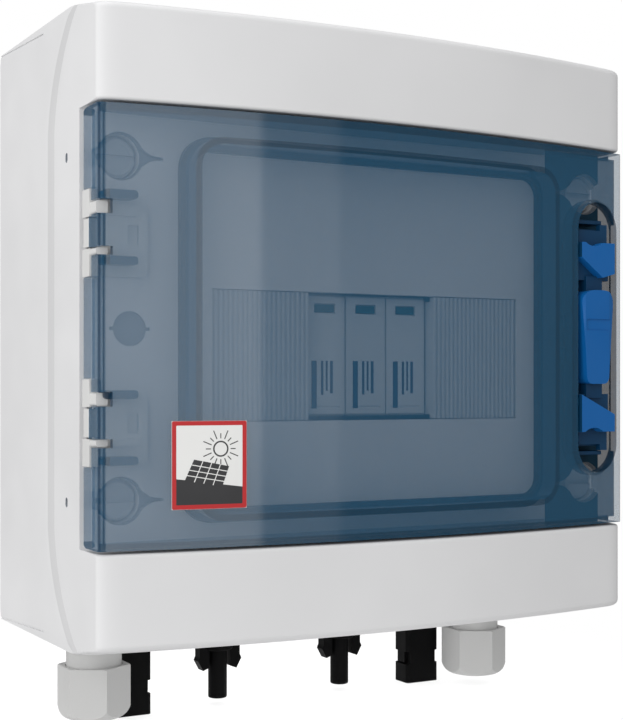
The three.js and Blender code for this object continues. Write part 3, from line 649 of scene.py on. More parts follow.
# ---- door, hinges and label
def hinge_span(side, start, stop):
    return (side * HINGE.z + start, side * HINGE.z + stop)


def pin_bore(side, half):
    """The room of a hinge's pin."""
    return rod("z", (AXIS.x, AXIS.y), AXIS.bore, hinge_span(side, -half, half), 32)


def door():
    tall = (-DOOR.half_height, DOOR.half_height)
    sheet = DOOR.sheet
    behind_axis = block((-WIDE, AXIS.x + AXIS.bead), (AXIS.y, 0), UPRIGHT)
    outline = plan(0, 0, DOOR.corner, DOOR.rear_y)
    outside = cut(prism("z", outline, tall), behind_axis)
    inside_outline = plan(sheet, sheet, DOOR.corner - sheet, DOOR.rear_y + 5)
    lips = DOOR.half_height - sheet
    behind_lips = meet(
        prism("z", inside_outline, (tall[0] - 1, tall[1] + 1)),
        block(ACROSS, (DOOR.lip_y, 0), UPRIGHT),
    )
    half_w, half_h, radius, wall = RING.half_width, RING.half_height, RING.radius, RING.wall
    ring = cut(
        prism("y", rounded(0, 0, half_w, half_h, radius), (-130, RING.rear_y)),
        prism("y", rounded(0, 0, half_w - wall, half_h - wall, radius - wall), (-131, RING.rear_y + 1)),
    )
    behind_ring = block(ACROSS, (RING.rear_y + 2, 0), UPRIGHT)
    ring = meet(ring, cut(prism("z", outline, tall), behind_ring))
    bead = rod("z", (AXIS.x, AXIS.y), AXIS.bead, tall, 32)
    panel = cut(outside, prism("z", inside_outline, (-lips, lips)), behind_lips)
    rim_outline = rounded(SLOT.x, 0, SLOT.half + 1.3, SLOT.half_height + 1.3, SLOT.half + 1.2, 16)
    rim = meet(prism("y", rim_outline, (-130, -107.5)), prism("z", outline, tall))
    panel = join(panel, ring, bead, rim)
    slot = rounded(SLOT.x, 0, SLOT.half, SLOT.half_height, SLOT.half - 0.1, 16)
    panel = cut(panel, prism("y", slot, (-130, -96)))
    for side in BOTH:
        for start, stop in ((-HINGE.half - GAP, -HINGE.tab - GAP), (HINGE.tab + GAP, HINGE.half + GAP)):
            panel = cut(panel, block((-WIDE, -106), (-104.5, -90), hinge_span(side, start, stop)))
        panel = cut(panel, pin_bore(side, 9))
        for start, stop in ((5.6, 10.4), (-8.0, -5.1)):
            panel = cut(panel, block((-WIDE, -105.9), (-113, -90), hinge_span(side, start, stop)))
        leaf_room = block((-WIDE, -106.8), (-102.1, -90), hinge_span(side, -HINGE.tab - GAP, HINGE.tab + GAP))
        panel = cut(panel, leaf_room)
        for start, stop in ((11.0, 13.9), (-10.9, -8.1)):
            rib = rounded(-102, side * (HINGE.z + (start + stop) / 2), 6, 1.45, 1.2, 5)
            panel = join(panel, prism("y", rib, (-110, -104.2)))
    return meet(panel, round_rear(tall[1]))


def round_rear(half_height):
    """The door's side view, its two rear corners rounded."""
    rear, radius = DOOR.rear_y + 0.01, 4.5
    upper = arc((rear - radius, half_height - radius), radius, 0, 90, 8)
    outline = [(AHEAD, -half_height), *((y, -z) for y, z in reversed(upper)), *upper, (AHEAD, half_height)]
    return prism("x", outline, ACROSS)


def door_face(x, y, z, face):
    """0 for the outer skin, 1 for the inner skin, 2 for the deeper ring, ribs, folds and cut edges."""
    _, ny, nz = (abs(n) for n in face.normal)
    behind_skin = y > front_at(x) + 0.4
    in_ring = abs(x) < RING.half_width + 0.4
    across = in_ring and behind_skin and ny < 0.55
    rim = in_ring and y > RING.rear_y - 0.6
    rib = behind_skin and -108.2 < x < -95.8 and abs(abs(z) - HINGE.z) < 16
    fold = abs(x) > 109.4 and y < -109.2 and 0.25 < ny < 0.85
    inner_fold = behind_skin and 107 < abs(x) < 108.4 and y < -107.5 and 0.2 < ny < 0.97
    slot_wall = abs(x - SLOT.x) < SLOT.half + 1.5 and abs(z) < SLOT.half_height + 1.5 and ny < 0.5
    lip = nz > 0.55 and abs(z) > RING.half_height - 4
    if lip or across or rim or rib or fold or inner_fold or slot_wall:
        return 2
    return behind_skin and abs(x) < HALF_WIDTH - 1


def outline_face(x, y, _, face):
    """The narrow walls round a plate get painted shade, the deeper grey of the recesses."""
    return abs(face.normal.y) < 0.6 and x > -106 and y > -103.8


def recess_face(x, y, z, _):
    """Walls and floors of the screw recesses and of the small marks get painted shade: a deeper grey."""
    screw = hypot(abs(x) - SCREW.x, abs(z) - SCREW.z) < 16
    knockout_mark = abs(abs(x) - KNOCKOUT_X) < 8.2 and abs(z) < 6.6
    sunk = RECESS.panel_y + 0.12 < y < RECESS.panel_y + 3 and abs(x) < RECESS.side - 0.2
    side_mark = abs(y - SIDE_MARK.y) < 1.4 and abs(abs(z) - SIDE_MARK.z) < 1.9 and abs(x) < HALF_WIDTH - 0.3
    return side_mark or sunk and (screw or knockout_mark)


def hinge_block(side):
    """A plate on the cover's panel, with two bars at the edge and arms and fingers that lead to it."""
    front = RECESS.panel_y - GAP - HINGE.plate
    middle = side * HINGE.z
    low, high = hinge_span(side, -HINGE.half, HINGE.half)
    made = block((AXIS.x + 1, HINGE.plate_x - 4), (front, front + HINGE.plate), (low, high - 4.4))
    tip = rounded(HINGE.plate_x - 8, middle - 2.2, 8, HINGE.half - 2.2, 3.2)
    made = join(made, prism("y", tip, (front, front + HINGE.plate)))
    for start, stop in ((-HINGE.half, -HINGE.tab - 2 * GAP), (HINGE.tab + 2 * GAP, HINGE.half)):
        bar = block((AXIS.x - 1.8, AXIS.x + 1.9), (-102.4, -95.5), hinge_span(side, start, stop))
        made = join(made, bar)
    for start, stop in ((5.9, 10.1), (-7.7, -5.4)):
        z, half = middle + (start + stop) / 2, (stop - start) / 2
        arm = prism("y", rounded(-108.2, z, 2.1, half, 0.8, 4), (-108.4, -101.9))
        finger = prism("y", rounded(-100.4, z, 6.6, half, 0.9, 4), (front - 1, front + 1))
        made = join(made, arm, finger)
    made = cut(made, pin_bore(side, 20))
    window = block((-97.2, -93.4), (front - 1, front + 0.9), ends(middle - 0.2, 3.2))
    return cut(made, window)


def hinge_leaf(side):
    """The door's own part of the hinge, between the two bars."""
    z = hinge_span(side, -HINGE.tab, HINGE.tab)
    leaf = block((AXIS.x - 1.8, AXIS.x + 1.6), (-101.95, AXIS.y + 0.6), z)
    return cut(leaf, pin_bore(side, 20))


def label():
    """The sticker's white body, bent to the door's bow."""
    steps = 12
    points = []
    for i in range(steps + 1):
        x = LABEL.left + (LABEL.right - LABEL.left) * i / steps
        points.append((x, front_at(x) - GAP - LABEL.thickness + 0.06))
        points.insert(0, (x, front_at(x) - GAP))
    return prism("z", points, (LABEL.bottom, LABEL.top))


def print_film(outline, lift):
    """A flat printed shape on the sticker, cut into narrow strips so that it follows the bow."""
    low, high = min(x for x, _ in outline), max(x for x, _ in outline)
    film = prism("y", outline, (-122, -108))
    x = [low - 0.5 + (high - low + 1) * i / 12 for i in range(13)]
    face = [(a, front_at(a) - GAP - LABEL.thickness + 0.06 - lift) for a in x]
    back = [(a, front_at(a) - GAP - LABEL.thickness + 0.08) for a in reversed(x)]
    return meet(film, prism("z", face + back, (LABEL.bottom - 1, LABEL.top + 1)))


def stroke(start, stop, across, lift):
    """A straight printed line; across is half its width."""
    corners = (start - across, stop - across, stop + across, start + across)
    return print_film([tuple(corner) for corner in corners], lift)


def stick(obj, name, colour, nodes=()):
    """Finishes a part of the door's sticker."""
    finish(obj, name, "door", colour, "label_print", nodes, soft=0)


def add_label():
    left, right, low, high = LABEL.left, LABEL.right, LABEL.bottom, LABEL.top
    middle_x, middle_z = (left + right) / 2, (low + high) / 2
    half_w, half_h = (right - left) / 2, (high - low) / 2
    stick(label(), "label_sheet", LABEL_WHITE, ["door_label"])
    outer = rounded(middle_x, middle_z, half_w - 0.05, half_h - 0.05, 0.5, 3)
    inner = rounded(middle_x, middle_z, half_w - 1.5, half_h - 1.5, 0.3, 3)
    stick(cut(print_film(outer, 0.04), prism("y", inner, (-125, -100))), "label_border", LABEL_RED)
    band_top = low + 8.6
    band = [(left + 1.5, low + 1.5), (right - 1.5, low + 1.5)]
    band += [(right - 1.5, band_top - 1.4), (left + 1.5, band_top + 1.6)]
    stick(print_film(band, 0.02), "label_band", LABEL_DARK)
    sun = (right - 9.2, high - 9.4)
    rays = print_film(arc(sun, 2.7, 0, 350, 35), 0.03)
    for k, point in enumerate(circle(16)):
        reach = 6.6 if k % 2 else 5.2
        along = Vector(point)
        across = Vector((-along.y, along.x)) * 0.16
        rays = join(rays, stroke(Vector(sun) + along * 3.5, Vector(sun) + along * reach, across, 0.03))
    rays = cut(rays, prism("y", arc(sun, 2.2, 0, 350, 35), (-125, -100)))
    stick(rays, "label_sun", LABEL_DARK)
    panel = [(left + x, low + z) for x, z in ((4.4, 9.6), (17.4, 7.4), (19.8, 14.2), (7.6, 16.6))]
    stick(print_film(panel, 0.06), "label_panel", LABEL_DARK)
    a, b, c, d = (Vector(corner) for corner in panel)
    lines = []
    for part in (0.25, 0.5, 0.75):
        for start, stop in ((a.lerp(b, part), d.lerp(c, part)), (a.lerp(d, part), b.lerp(c, part))):
            across = (stop - start).normalized().orthogonal() * 0.14
            lines.append(stroke(start, stop, across, 0.1))
    stick(join(*lines), "label_panel_grid", LABEL_WHITE)


# ---- latch
def latch_grip():
    """A handle that narrows downward, its right edge faceted, with an empty badge field."""
    x, half, grip, front = LATCH.x, LATCH.half, LATCH.grip, LATCH.front
    outline = [(x - half + 4.6, -grip), (x + half - 6.4, -grip)]
    outline += bezier([outline[-1], (x + half - 3.6, -grip), (x + half - 3.4, -grip + 3.2)], 8)
    outline += [(x + half, grip - 5.6)]
    outline += bezier([outline[-1], (x + half, grip), (x + 1, grip)], 12)
    outline += [(x - 2, grip)]
    outline += bezier([outline[-1], (x - half, grip - 0.2), (x - half, grip - 5.0)], 12)
    outline += [(x - half + 1.9, -grip + 3.2)]
    outline += bezier([outline[-1], (x - half + 2.1, -grip), (x - half + 4.6, -grip)], 8)[:-1]
    grip_body = prism("y", outline, (front, LATCH.back))
    badge = prism("y", rounded(x - 0.4, 4.8, 6.1, 2.2, 0.5, 4), (front - 1, front + 0.45))
    pockets = [block(ends(x, 4.4), (-113.8, LATCH.back + 1), span_of(s, 3.5, grip + 1)) for s in BOTH]
    right_facet = [(x + 4.6, front - 0.1), (x + 9, front - 0.1), (x + 9, front + 2.2)]
    left_facet = [(x - 6.9, front - 0.1), (x - 9, front + 1.2), (x - 9, front - 0.1)]
    facets = [prism("z", facet, ends(0, grip + 1)) for facet in (right_facet, left_facet)]
    return cut(grip_body, badge, *facets, *pockets)


def latch_slider(side):
    x, half, back, front = LATCH.x, LATCH.half, LATCH.back, LATCH.front
    left, right = x - half - 0.4, x + half - 0.4
    if side > 0:
        face = [(left, 37), (left, 31), (right - 6, 23.3), (right, 25), (right, 37)]
    else:
        face = [(left, -37.2), (left, -22.6), (right, -30.4), (right, -37.2)]
    press = prism("y", face, (front + 0.2, -112))
    foot = block((left, right), (-112.5, back), span_of(side, 22.4, 37))
    low_step = block((left + 2, BOLT.step_x + 1), (-112, back), span_of(side, 36, BOLT.low_z))
    high_step = block((BOLT.step_x, BOLT.end_x), (-112, back), span_of(side, 36, BOLT.high_z))
    tongue = block(ends(x, 4), (-113.4, back), span_of(side, 14, 24))
    made = join(press, foot, low_step, high_step, tongue)
    return cut(made, rod("y", (x - 2.5, side * 42.6), 7, (front - 1, -112.2), 96))


def latch_face(_x, y, _z, _face):
    """The pressed face is bright; the foot and the bolt behind it take the darker blue as painted shade."""
    return y > -113.6


def strike(side):
    """The step on the cover that stands behind the slider's bolt, coloured the carrier's dark blue as painted
    shade.
    """
    z = span_of(side, BOLT.high_z + GAP, 46.6)
    return block((90, BOLT.end_x - 0.8), (-109.7, RECESS.panel_y - 0.36), z)


def painted_shadow_sheet():
    """A thin dark sheet of painted shadow on the cover's panel behind the latch, where the door and its ring
    shade it; open round the screws and the knockout mark.
    """
    z = RECESS.half_height - 0.6
    plate = block((79.4, 106), (RECESS.panel_y - 0.35, RECESS.panel_y - 0.03), (-z, z))
    for sz in BOTH:
        plate = cut(plate, prism("y", teardrop(1, sz), (IN_FRONT, -95)))
    return cut(plate, rod("y", (KNOCKOUT_X, 0), 4.6, (IN_FRONT, -95)))


def coil(side):
    """A round-wire spring between grip and slider."""
    radius, wire, turns = 1.5, 0.25, 4
    low, high = span_of(side, 4.15, 13.35)
    rings = []
    steps = turns * 28
    for k in range(steps + 1):
        angle = 2 * pi * turns * k / steps
        out = Vector((cos(angle), sin(angle), 0))
        height = low + wire + (high - low - 2 * wire) * k / steps
        middle = Vector((LATCH.x, -111.7, height)) + out * radius
        rings.append([tuple(middle + out * wire * c + Vector((0, 0, wire * s))) for c, s in circle(10)])
    return loft(rings)


def cover_screw(sx, sz):
    x, z = sx * SCREW.x, sz * SCREW.z
    front, seat, head = SCREW.floor - GAP - 5, SCREW.floor - GAP, SCREW.head
    profile = [(0, front), (head - 0.9, front), (head, front + 0.9), (head, seat), (SCREW.shank, seat)]
    profile += grooves(SCREW.shank, 0.45, 0.5, 1.25, seat + 2, -57)
    made = lathe("y", (x, z), profile + [(1.6, -55), (0, -55)], 48)
    slit = block(ends(x, head + 1), (front - 1, front + 1.8), ends(z, 0.9))
    dish = rod("y", (x, z), head - 2.0, (front - 1, front + 0.3))
    return cut(made, dish, slit)


# ---- rail devices
def spd_base():
    half, shoulder = 1.5 * MODULE.pitch, -76
    x = (-half, half)
    z, tall = MODULE.z, MODULE.half_height + GAP
    low, high = z - 45, z + 45
    front, back = RAIL.front, MODULE.back + GAP
    profile = [(front - GAP, low), (front - GAP, high), (shoulder + 6, high), (shoulder, high - 8)]
    profile += [(shoulder, z + tall), (back, z + tall), (back, z - tall), (shoulder, z - tall)]
    profile += [(shoulder, low + 8), (shoulder + 6, low)]
    made = prism("x", profile, x)
    for side in BOTH:
        hook = [(front - 2, 16), (front - 2, 21), (front + 2.6, 21), (front + 2.6, 16.4)]
        hook += [(front + 1 + GAP, 16.4), (front + 1 + GAP, 17.8), (front - GAP, 17.8), (front - GAP, 16)]
        made = join(made, prism("x", [(y, RAIL.z + side * reach) for y, reach in hook], x))
    for pole in (-1, 0, 1):
        middle = pole * MODULE.pitch
        for side in BOTH:
            made = cut(made, block(ends(middle, 1.3), (-51, -40.5), ends(z + side * 15, 3.6)))
            made = cut(made, rod("y", (middle, z + side * 33), 2.8, (shoulder - 1, -62), 32))
    for pole in BOTH:
        for split in BOTH:
            x_wire = pole * MODULE.pitch + split * 3
            made = cut(made, rod("z", (x_wire, WIRE_Y), 2.6, (low - 1, low + 10), 32))
        seam = pole * MODULE.pitch / 2
        for side in BOTH:
            made = cut(made, block(ends(seam, 0.2), (shoulder - 1, shoulder + 0.4), span_of(side, 0, 90)))
    return cut(made, rod("z", (0, WIRE_Y), 2.6, (high - 10, high + 1), 32))


def flag_window(pole, grow):
    middle = pole * MODULE.pitch
    return (middle - 4.1 - grow, middle + 4.1 + grow), (7.8 - grow, 10.7 + grow)


def spd_plug(pole):
    middle, half = pole * MODULE.pitch, MODULE.pitch / 2 - GAP
    z, front, back = MODULE.z, MODULE.front, MODULE.back
    low, high = z - MODULE.half_height, z + MODULE.half_height
    upper = [(back, high), (front + 14, high), (front + 13, high - 1.2), (front + 4, high - 1.2)]
    upper += [(front + 3, high), (front + 0.8, high), (front, high - 0.8)]
    lower = [(y, 2 * z - reach) for y, reach in reversed(upper)]
    made = prism("x", upper + lower, ends(middle, half))
    for side in BOTH:
        made = join(made, block(ends(middle, 0.5), (back - 1, -42), ends(z + side * 15, 3)))
    x, tall = flag_window(pole, GAP)
    made = cut(made, block(x, (front - 1, front + 1.6), tall))
    return cut(made, block(ends(middle, 6.3), (front - 1, front + 0.35), ends(low + 3.2, 0.35)))


def module_print(pole):
    """Plain printed bars where a maker would print its data: no letters and no numbers."""
    middle, front = pole * MODULE.pitch, MODULE.front
    sizes = [(-5.6, -27.5, 2.2, 17.5), (-1.6, -22.5, 1, 12.5), (0.4, -21, 0.8, 11), (2.2, -22, 1.2, 12)]
    bars = []
    for left, low, width, height in sizes:
        x, y = middle + left, (front - 0.04, front + 0.02)
        bars.append(block((x, x + width), y, (low, low + height)))
    return join(*bars)


def spd_flag(pole):
    x, tall = flag_window(pole, -0.02)
    y = (MODULE.front + 0.42, MODULE.front + 1.28)
    outline = rounded(sum(x) / 2, sum(tall) / 2, (x[1] - x[0]) / 2, (tall[1] - tall[0]) / 2, 0.35, 4)
    return prism("y", outline, y)


def blanking_strip(side):
    inner, outer, ribs = 1.5 * MODULE.pitch + 0.6, WINDOW.half_width - GAP, 20
    pitch = (outer - inner) / ribs
    tip, foot, back = -101.7, -100.8, -98.8
    outline = [(side * inner, back)]
    rib = ((0, foot), (0.12, tip + 0.15), (0.22, tip), (0.53, tip), (0.63, tip + 0.15), (0.75, foot))
    for i in range(ribs):
        outline += [(side * (inner + (i + along) * pitch), y) for along, y in rib]
    outline += [(side * outer, foot), (side * outer, back)]
    low, high = ends(WINDOW.z, WINDOW.half_height - GAP)
    lip = block(span_of(side, inner + 3, outer - 3), (back - 0.2, back + 1.2), (low - 2.5, high + 2.5))
    return_wall = block(span_of(side, inner, inner + 1.3), (tip + 0.9, -84), (low + 1.5, high - 1.5))
    return join(prism("z", outline, (low, high)), lip, return_wall)


# ---- glands and connectors
UNDERSIDE = -HALF_HEIGHT


def gland_body(side):
    neck, thread, bore = GLAND.neck, GLAND.thread, GLAND.bore
    profile = [(bore, -133), (9, -133), (9, -126), (neck - 0.6, -126), (neck, -125.4)]
    profile += [(neck, UNDERSIDE - GAP), (thread, UNDERSIDE - GAP)]
    profile += grooves(thread, 0.55, 0.7, 1.5, UNDERSIDE + 2.6, -103)
    profile += [(thread - 0.8, -101), (bore, -101)]
    return lathe("z", (side * GLAND.x, GLAND.y), profile, 64)


def gland_nut(side):
    centre = (side * GLAND.x, GLAND.y)
    radius = GLAND.flats / sqrt(3)
    dome = [(0, -144), (8.1, -144), (8.7, -143.75)]
    turns = [pi / 2 * k / 10 for k in range(1, 11)]
    dome += [(8.7 + 5.4 * sin(t), -143.75 + 6.2 * (1 - cos(t))) for t in turns]
    dome += [(radius + 0.4, -137), (radius + 0.4, -124.6), (radius - 0.5, -124), (0, -124)]
    made = meet(prism("z", arc(centre, radius, 30, 330, 5), (-144, -124)), lathe("z", centre, dome, 96))
    room = rod("z", centre, 9.3, (-134, -120), 64)
    made = cut(made, room, rod("z", centre, GLAND.neck + GAP, (-126.4, -120), 64))
    mouth = [(0, -146), (7.6, -146), (7.2, -143.6), (6.6, -143), (6.6, -120), (0, -120)]
    return cut(made, lathe("z", centre, mouth, 64))


def pv_shoulder(x):
    """The flange and thread that a plug or a socket sits in the box's bottom with."""
    flange = [(0, -117), (7.1, -117), (7.6, -116.5), (7.6, UNDERSIDE - GAP), (PV.thread, UNDERSIDE - GAP)]
    flange += grooves(PV.thread, 0.4, 0.5, 1.25, UNDERSIDE + 2.6, -103)
    return lathe("z", (x, PV.y), flange + [(PV.thread - 0.5, -101), (0, -101)], 48)


def pv_plug(x):
    centre = (x, PV.y)
    tube = [(0, -145.6), (3.2, -145.6), (3.65, -145.4), (3.83, -144.9), (3.83, -126)]
    tube += [(5.7, -126), (6.2, -125.5), (6.2, -116), (0, -116)]
    made = join(pv_shoulder(x), lathe("z", centre, tube, 48))
    for side in BOTH:
        prong = [(4.4, -119), (8.9, -119), (8.9, -128.5), (9.6, -130), (7.4, -134), (4.8, -133)]
        made = join(made, prism("y", [(x + side * reach, z) for reach, z in prong], ends(PV.y, 2.4)))
    return cut(made, rod("z", centre, 2.2, (-150, -132), 32))


def pv_socket(x):
    half = 8.0
    shell = prism("z", rounded(x, PV.y, half, 5.3, 1.6, 6), (-148, -116))
    notches = [block(ends(x + side * half, 1.7), ends(PV.y, 6), (-140.0, -134.6)) for side in BOTH]
    lugs = [block(ends(x + side * (half - 1.4), 1.0), ends(PV.y, 2.4), (-139.4, -134.6)) for side in BOTH]
    made = cut(join(pv_shoulder(x), shell), *notches)
    return cut(join(made, *lugs), rod("z", (x, PV.y), 4.1, (-150, -124), 48))


# ---- all pieces
def add_box_and_door():
    base = bend_to_seam(base_box())
    finish(base, "base_shell", "box", [HOUSING, BEND_PAINTED_SHADE], "housing", ["base_box"], soft=0.35)
    mark(base, bend_face)
    cover = front_cover()
    round_strips(cover)
    finish(cover, "front_shell", "box", [HOUSING, RECESS_PAINTED_SHADE], "housing", ["front_cover"], soft=0.35)
    mark(cover, recess_face)
    lid, sheet = door(), [SMOKE, SMOKE_INNER, SMOKE_EDGE]
    finish(lid, "door_lid", "door", sheet, "smoke_clear", ["door"], soft=0.45)
    mark(lid, door_face)
    add_label()


def add_hinge(side, word):
    plate, finishes = hinge_block(side), [HINGE_GREY, RECESS_PAINTED_SHADE]
    finish(plate, f"hinge_plate_{word}", "box", finishes, "housing", [f"hinge_block_{word}"])
    mark(plate, outline_face)
    finish(hinge_leaf(side), f"hinge_leaf_{word}", "door", HINGE_GREY, "housing")


def add_latch(side, word):
    name, rides, finishes = f"latch_button_{word}", f"latch_{word}", [LATCH_BLUE, CARRIER_BLUE_AND_PAINTED_SHADE]
    slider, spring = latch_slider(side), coil(side)
    finish(slider, name, rides, finishes, "latch_blue", [f"latch_slider_{word}"], soft=0.4)
    mark(slider, latch_face)
    finish(spring, f"spring_{word}", "door", SPRING_STEEL, "zinc_steel", [f"latch_spring_{word}"], soft=0)
    bpy.context.view_layer.update()
    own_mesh(spring)
    # The strikes take the carrier's dark blue as painted shade.
    finish(strike(side), f"strike_{word}", "box", CARRIER_BLUE_AND_PAINTED_SHADE, "carrier_blue")


def add_screw(sx, sz):
    place = f"{WORD_CORNER[sz]}_{WORD_X[sx]}"
    name, rides, node = f"screw_{place}_body", f"screw_{place}", f"cover_screw_{place}"
    finish(cover_screw(sx, sz), name, rides, SCREW_GREY_PAINTED_SHADE, "housing", [node], soft=0.2, segments=2)


def add_cartridge(pole):
    i = pole + 2
    rides, module, flag = f"cartridge_{i}", spd_plug(pole), spd_flag(pole)
    finish(module, f"spd_module_{i}", rides, MODULE_GREY, "module_grey", [f"spd_plug_{i}"])
    finish(flag, f"spd_window_{i}", rides, FLAG_TEAL, "flag_teal", [f"spd_flag_{i}"], soft=0.12)
    finish(module_print(pole), f"spd_print_{i}", rides, PRINT_GREY, "label_print", soft=0)


def add_strip_and_cable_parts(side):
    word, grey, black = WORD_X[side], (GLAND_GREY, "gland_grey"), (CONNECTOR_BLACK, "connector_black")
    strip, node = blanking_strip(side), f"blanking_strip_{word}"
    finish(strip, f"blank_{word}", "box", BLANK_GREY, "module_grey", [node], soft=0.1, segments=2)
    neck, nut = gland_body(side), gland_nut(side)
    finish(neck, f"gland_neck_{word}", "box", *grey, [f"gland_body_{word}"], soft=0.15, segments=2)
    finish(nut, f"gland_cap_{word}", f"nut_{word}", *grey, [f"gland_nut_{word}"], soft=0.4)
    socket, plug = pv_socket(side * PV.wide_x), pv_plug(side * PV.slim_x)
    finish(socket, f"pv_female_{word}", "box", *black, [f"pv_socket_{word}"])
    finish(plug, f"pv_male_{word}", "box", *black, [f"pv_plug_{word}"], soft=0.2)


def build_pieces():
    add_box_and_door()
    for side in BOTH:
        add_hinge(side, WORD_Z[side])
        add_latch(side, WORD_Z[side])
    finish(latch_grip(), "latch_handle", "door", LATCH_BLUE, "latch_blue", ["latch_grip"], soft=0.45)
    # A thin dark sheet of painted shadow behind the latch.
    finish(painted_shadow_sheet(), "latch_painted_shadow_sheet", "box", LATCH_PAINTED_SHADOW, "carrier_blue", soft=0.1, segments=2)
    for sx, sz in CORNERS:
        add_screw(sx, sz)
    finish(spd_base(), "spd_rail_base", "box", MODULE_GREY, "module_grey", ["spd_base"], soft=0.25)
    for pole in (-1, 0, 1):
        add_cartridge(pole)
    for side in BOTH:
        add_strip_and_cable_parts(side)


CARRIED = {
    "cover_seal": RUBBER,
    "door_seal": RUBBER,
    "latch_carrier": CARRIER_BLUE_AND_PAINTED_SHADE,
    "din_rail": ZINC,
    "earth_terminal": EARTH_GREEN,
    "earth_wire": EARTH_GREEN,
    "hinge_pin": ZINC,
    "rail_screw": ZINC,
    "gland_seal": RUBBER,
    "gland_locknut": GLAND_GREY,
    "pv_socket_nut": CONNECTOR_BLACK,
    "pv_plug_nut": CONNECTOR_BLACK,
    "wall_hole_cap": RUBBER,
    "dc_wire_outer_left": WIRE_RED,
    "dc_wire_inner_left": WIRE_RED,
    "dc_wire_outer_right": WIRE_BLACK,
    "dc_wire_inner_right": WIRE_BLACK,
}


def dress_carried():
    """Gives every CAD node that still shows its finish, smooth curves and softened edges."""
    smoothing = smooth_by_angle()
    for name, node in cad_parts.items():
        if node.hide_render:
            continue
        kind = max((key for key in CARRIED if name.startswith(key)), key=len)
        node.data.materials.clear()
        node.data.materials.append(CARRIED[kind])
        add_rounding(node, 0.2, 2, 0.05, 40)
        modify(node, "NODES", node_group=smoothing)
        modify(node, "WEIGHTED_NORMAL", keep_sharp=True)


def smooth_by_angle():
    """A geometry node group that shades a mesh smooth but for its hard edges."""
    group = bpy.data.node_groups.new("smooth_by_angle", "GeometryNodeTree")
    for way in ("INPUT", "OUTPUT"):
        group.interface.new_socket("Geometry", in_out=way, socket_type="NodeSocketGeometry")
    start, end = group.nodes.new("NodeGroupInput"), group.nodes.new("NodeGroupOutput")
    faces, edges = (group.nodes.new("GeometryNodeSetShadeSmooth") for _ in range(2))
    edges.domain = "EDGE"
    faces.inputs["Shade Smooth"].default_value = True
    edges.inputs["Shade Smooth"].default_value = False
    angle, hard = group.nodes.new("GeometryNodeInputMeshEdgeAngle"), group.nodes.new("FunctionNodeCompare")
    hard.data_type, hard.operation = "FLOAT", "GREATER_THAN"
    hard.inputs[1].default_value = SHARP
    for source, target, into in (
        (start, faces, "Geometry"),
        (faces, edges, "Geometry"),
        (angle, hard, 0),
        (hard, edges, "Selection"),
        (edges, end, 0),
    ):
        group.links.new(source.outputs[0], target.inputs[into])
    return group


# ---- floor, light and camera
FLOOR_Z = -148.3
KEY_TURN = 62


def add_floor():
    """A plain pale floor that fades into the backdrop away from the box."""
    sides, radii = 96, (120, 320, 640, 1000)
    vertices = [(0, 0, FLOOR_Z)]
    for radius in radii:
        vertices += [(x, y, FLOOR_Z) for x, y in circle(sides, radius)]
    faces = [[0, 1 + k, 1 + (k + 1) % sides] for k in range(sides)]
    for level in range(len(radii) - 1):
        inner, outer = 1 + sides * level, 1 + sides * (level + 1)
        for k in range(sides):
            n = (k + 1) % sides
            faces.append([inner + k, outer + k, outer + n, inner + n])
    mesh = bpy.data.meshes.new("floor")
    mesh.from_pydata([[c * MM for c in v] for v in vertices], [], faces)
    floor = add("floor", mesh)
    m = Nodes("floor_pale")
    m.colour(m.noise(3, 3), (1, 1, 1), 0.9, 0.93)
    m.set(Roughness=0.75, Emission_Color=(1, 1, 1, 1), Emission_Strength=0.66)
    length = m.new("VectorMath", operation="LENGTH")
    fade = m.new("MapRange", {"From Min": 0.08, "From Max": 0.26}, interpolation_type="SMOOTHSTEP")
    m.link(m.place, "Object", length, "Vector")
    m.link(length, "Value", fade, "Value")
    away = m.new("Math", operation="MAXIMUM")
    facing = m.new("NewGeometry")
    m.link(fade, "Result", away, 0)
    m.link(facing, "Backfacing", away, 1)
    clear, mix = m.new("BsdfTransparent"), m.new("MixShader")
    m.link(away, "Value", mix, "Fac")
    m.link(m.shader, "BSDF", mix, 1)
    m.link(clear, "BSDF", mix, 2)
    m.link(mix, "Shader", m.output, "Surface")
    floor.data.materials.append(m.material)


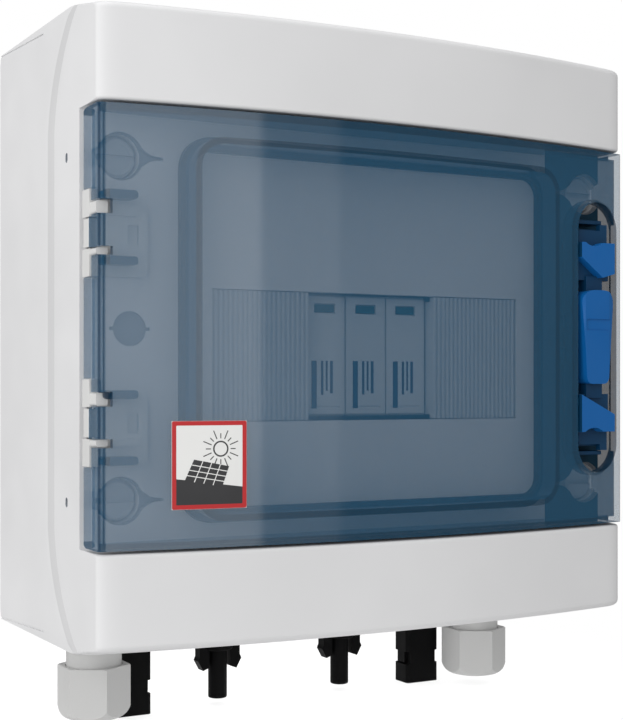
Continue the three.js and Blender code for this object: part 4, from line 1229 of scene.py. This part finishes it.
def add_panel_light(name, place, size, power, target=(0, -0.06, 0)):
    data = bpy.data.lights.new(name, "AREA")
    data.shape = "RECTANGLE"
    data.size, data.size_y = size
    data.energy = power
    lamp = add(name, data)
    lamp.location = place
    lamp.rotation_euler = (Vector(target) - Vector(place)).to_track_quat("-Z", "Y").to_euler()
    lamp.visible_camera = False
    return lamp


def light_scene():
    turn, distance = radians(KEY_TURN), 1.6
    place = (-distance * sin(turn), -distance * cos(turn), 0.35)
    key = add_panel_light("key", place, (1.5, 1.5), 14.6)
    key.visible_glossy = False
    add_panel_light("top", (0, -0.2, 1.5), (1.6, 1.6), 9, (0, -0.2, 0))
    for name, x, width, power in (("front", 0.07, 0.64, 2.6), ("front_right", 0.535, 0.29, 0.27)):
        panel = add_panel_light(name, (x, -1.62, 0.0), (width, 1.3), power)
        panel.rotation_euler = (pi / 2, 0, 0)
        panel.visible_diffuse = False
    scene = bpy.context.scene
    scene.view_settings.view_transform = "Standard"
    world = bpy.data.worlds.new("studio")
    scene.world = world
    world.use_nodes = True
    nodes, links = world.node_tree.nodes, world.node_tree.links
    nodes.clear()
    output, path = nodes.new("ShaderNodeOutputWorld"), nodes.new("ShaderNodeLightPath")
    mixed = None
    for strength, ray in ((0.57, None), (0.12, "Is Glossy Ray"), (1.0, "Is Camera Ray")):
        light = nodes.new("ShaderNodeBackground")
        light.inputs["Color"].default_value = (1, 1, 1, 1)
        light.inputs["Strength"].default_value = strength
        if ray is None:
            mixed = light
            continue
        mix = nodes.new("ShaderNodeMixShader")
        links.new(path.outputs[ray], mix.inputs["Fac"])
        links.new(mixed.outputs[0], mix.inputs[1])
        links.new(light.outputs[0], mix.inputs[2])
        mixed = mix
    links.new(mixed.outputs[0], output.inputs["Surface"])


def add_camera():
    data = bpy.data.cameras.new("camera")
    data.lens, data.sensor_width = 70.8, 36
    data.shift_x, data.shift_y = 0.0014, 0.0381
    camera = add("camera", data)
    camera.location = (-0.2714, -0.55, -0.0198)
    camera.rotation_euler = (pi / 2, 0, radians(-28.66))
    bpy.context.scene.camera = camera


add_camera()
light_scene()
add_floor()
build_pieces()
dress_carried()

bpy.context.view_layer.update()
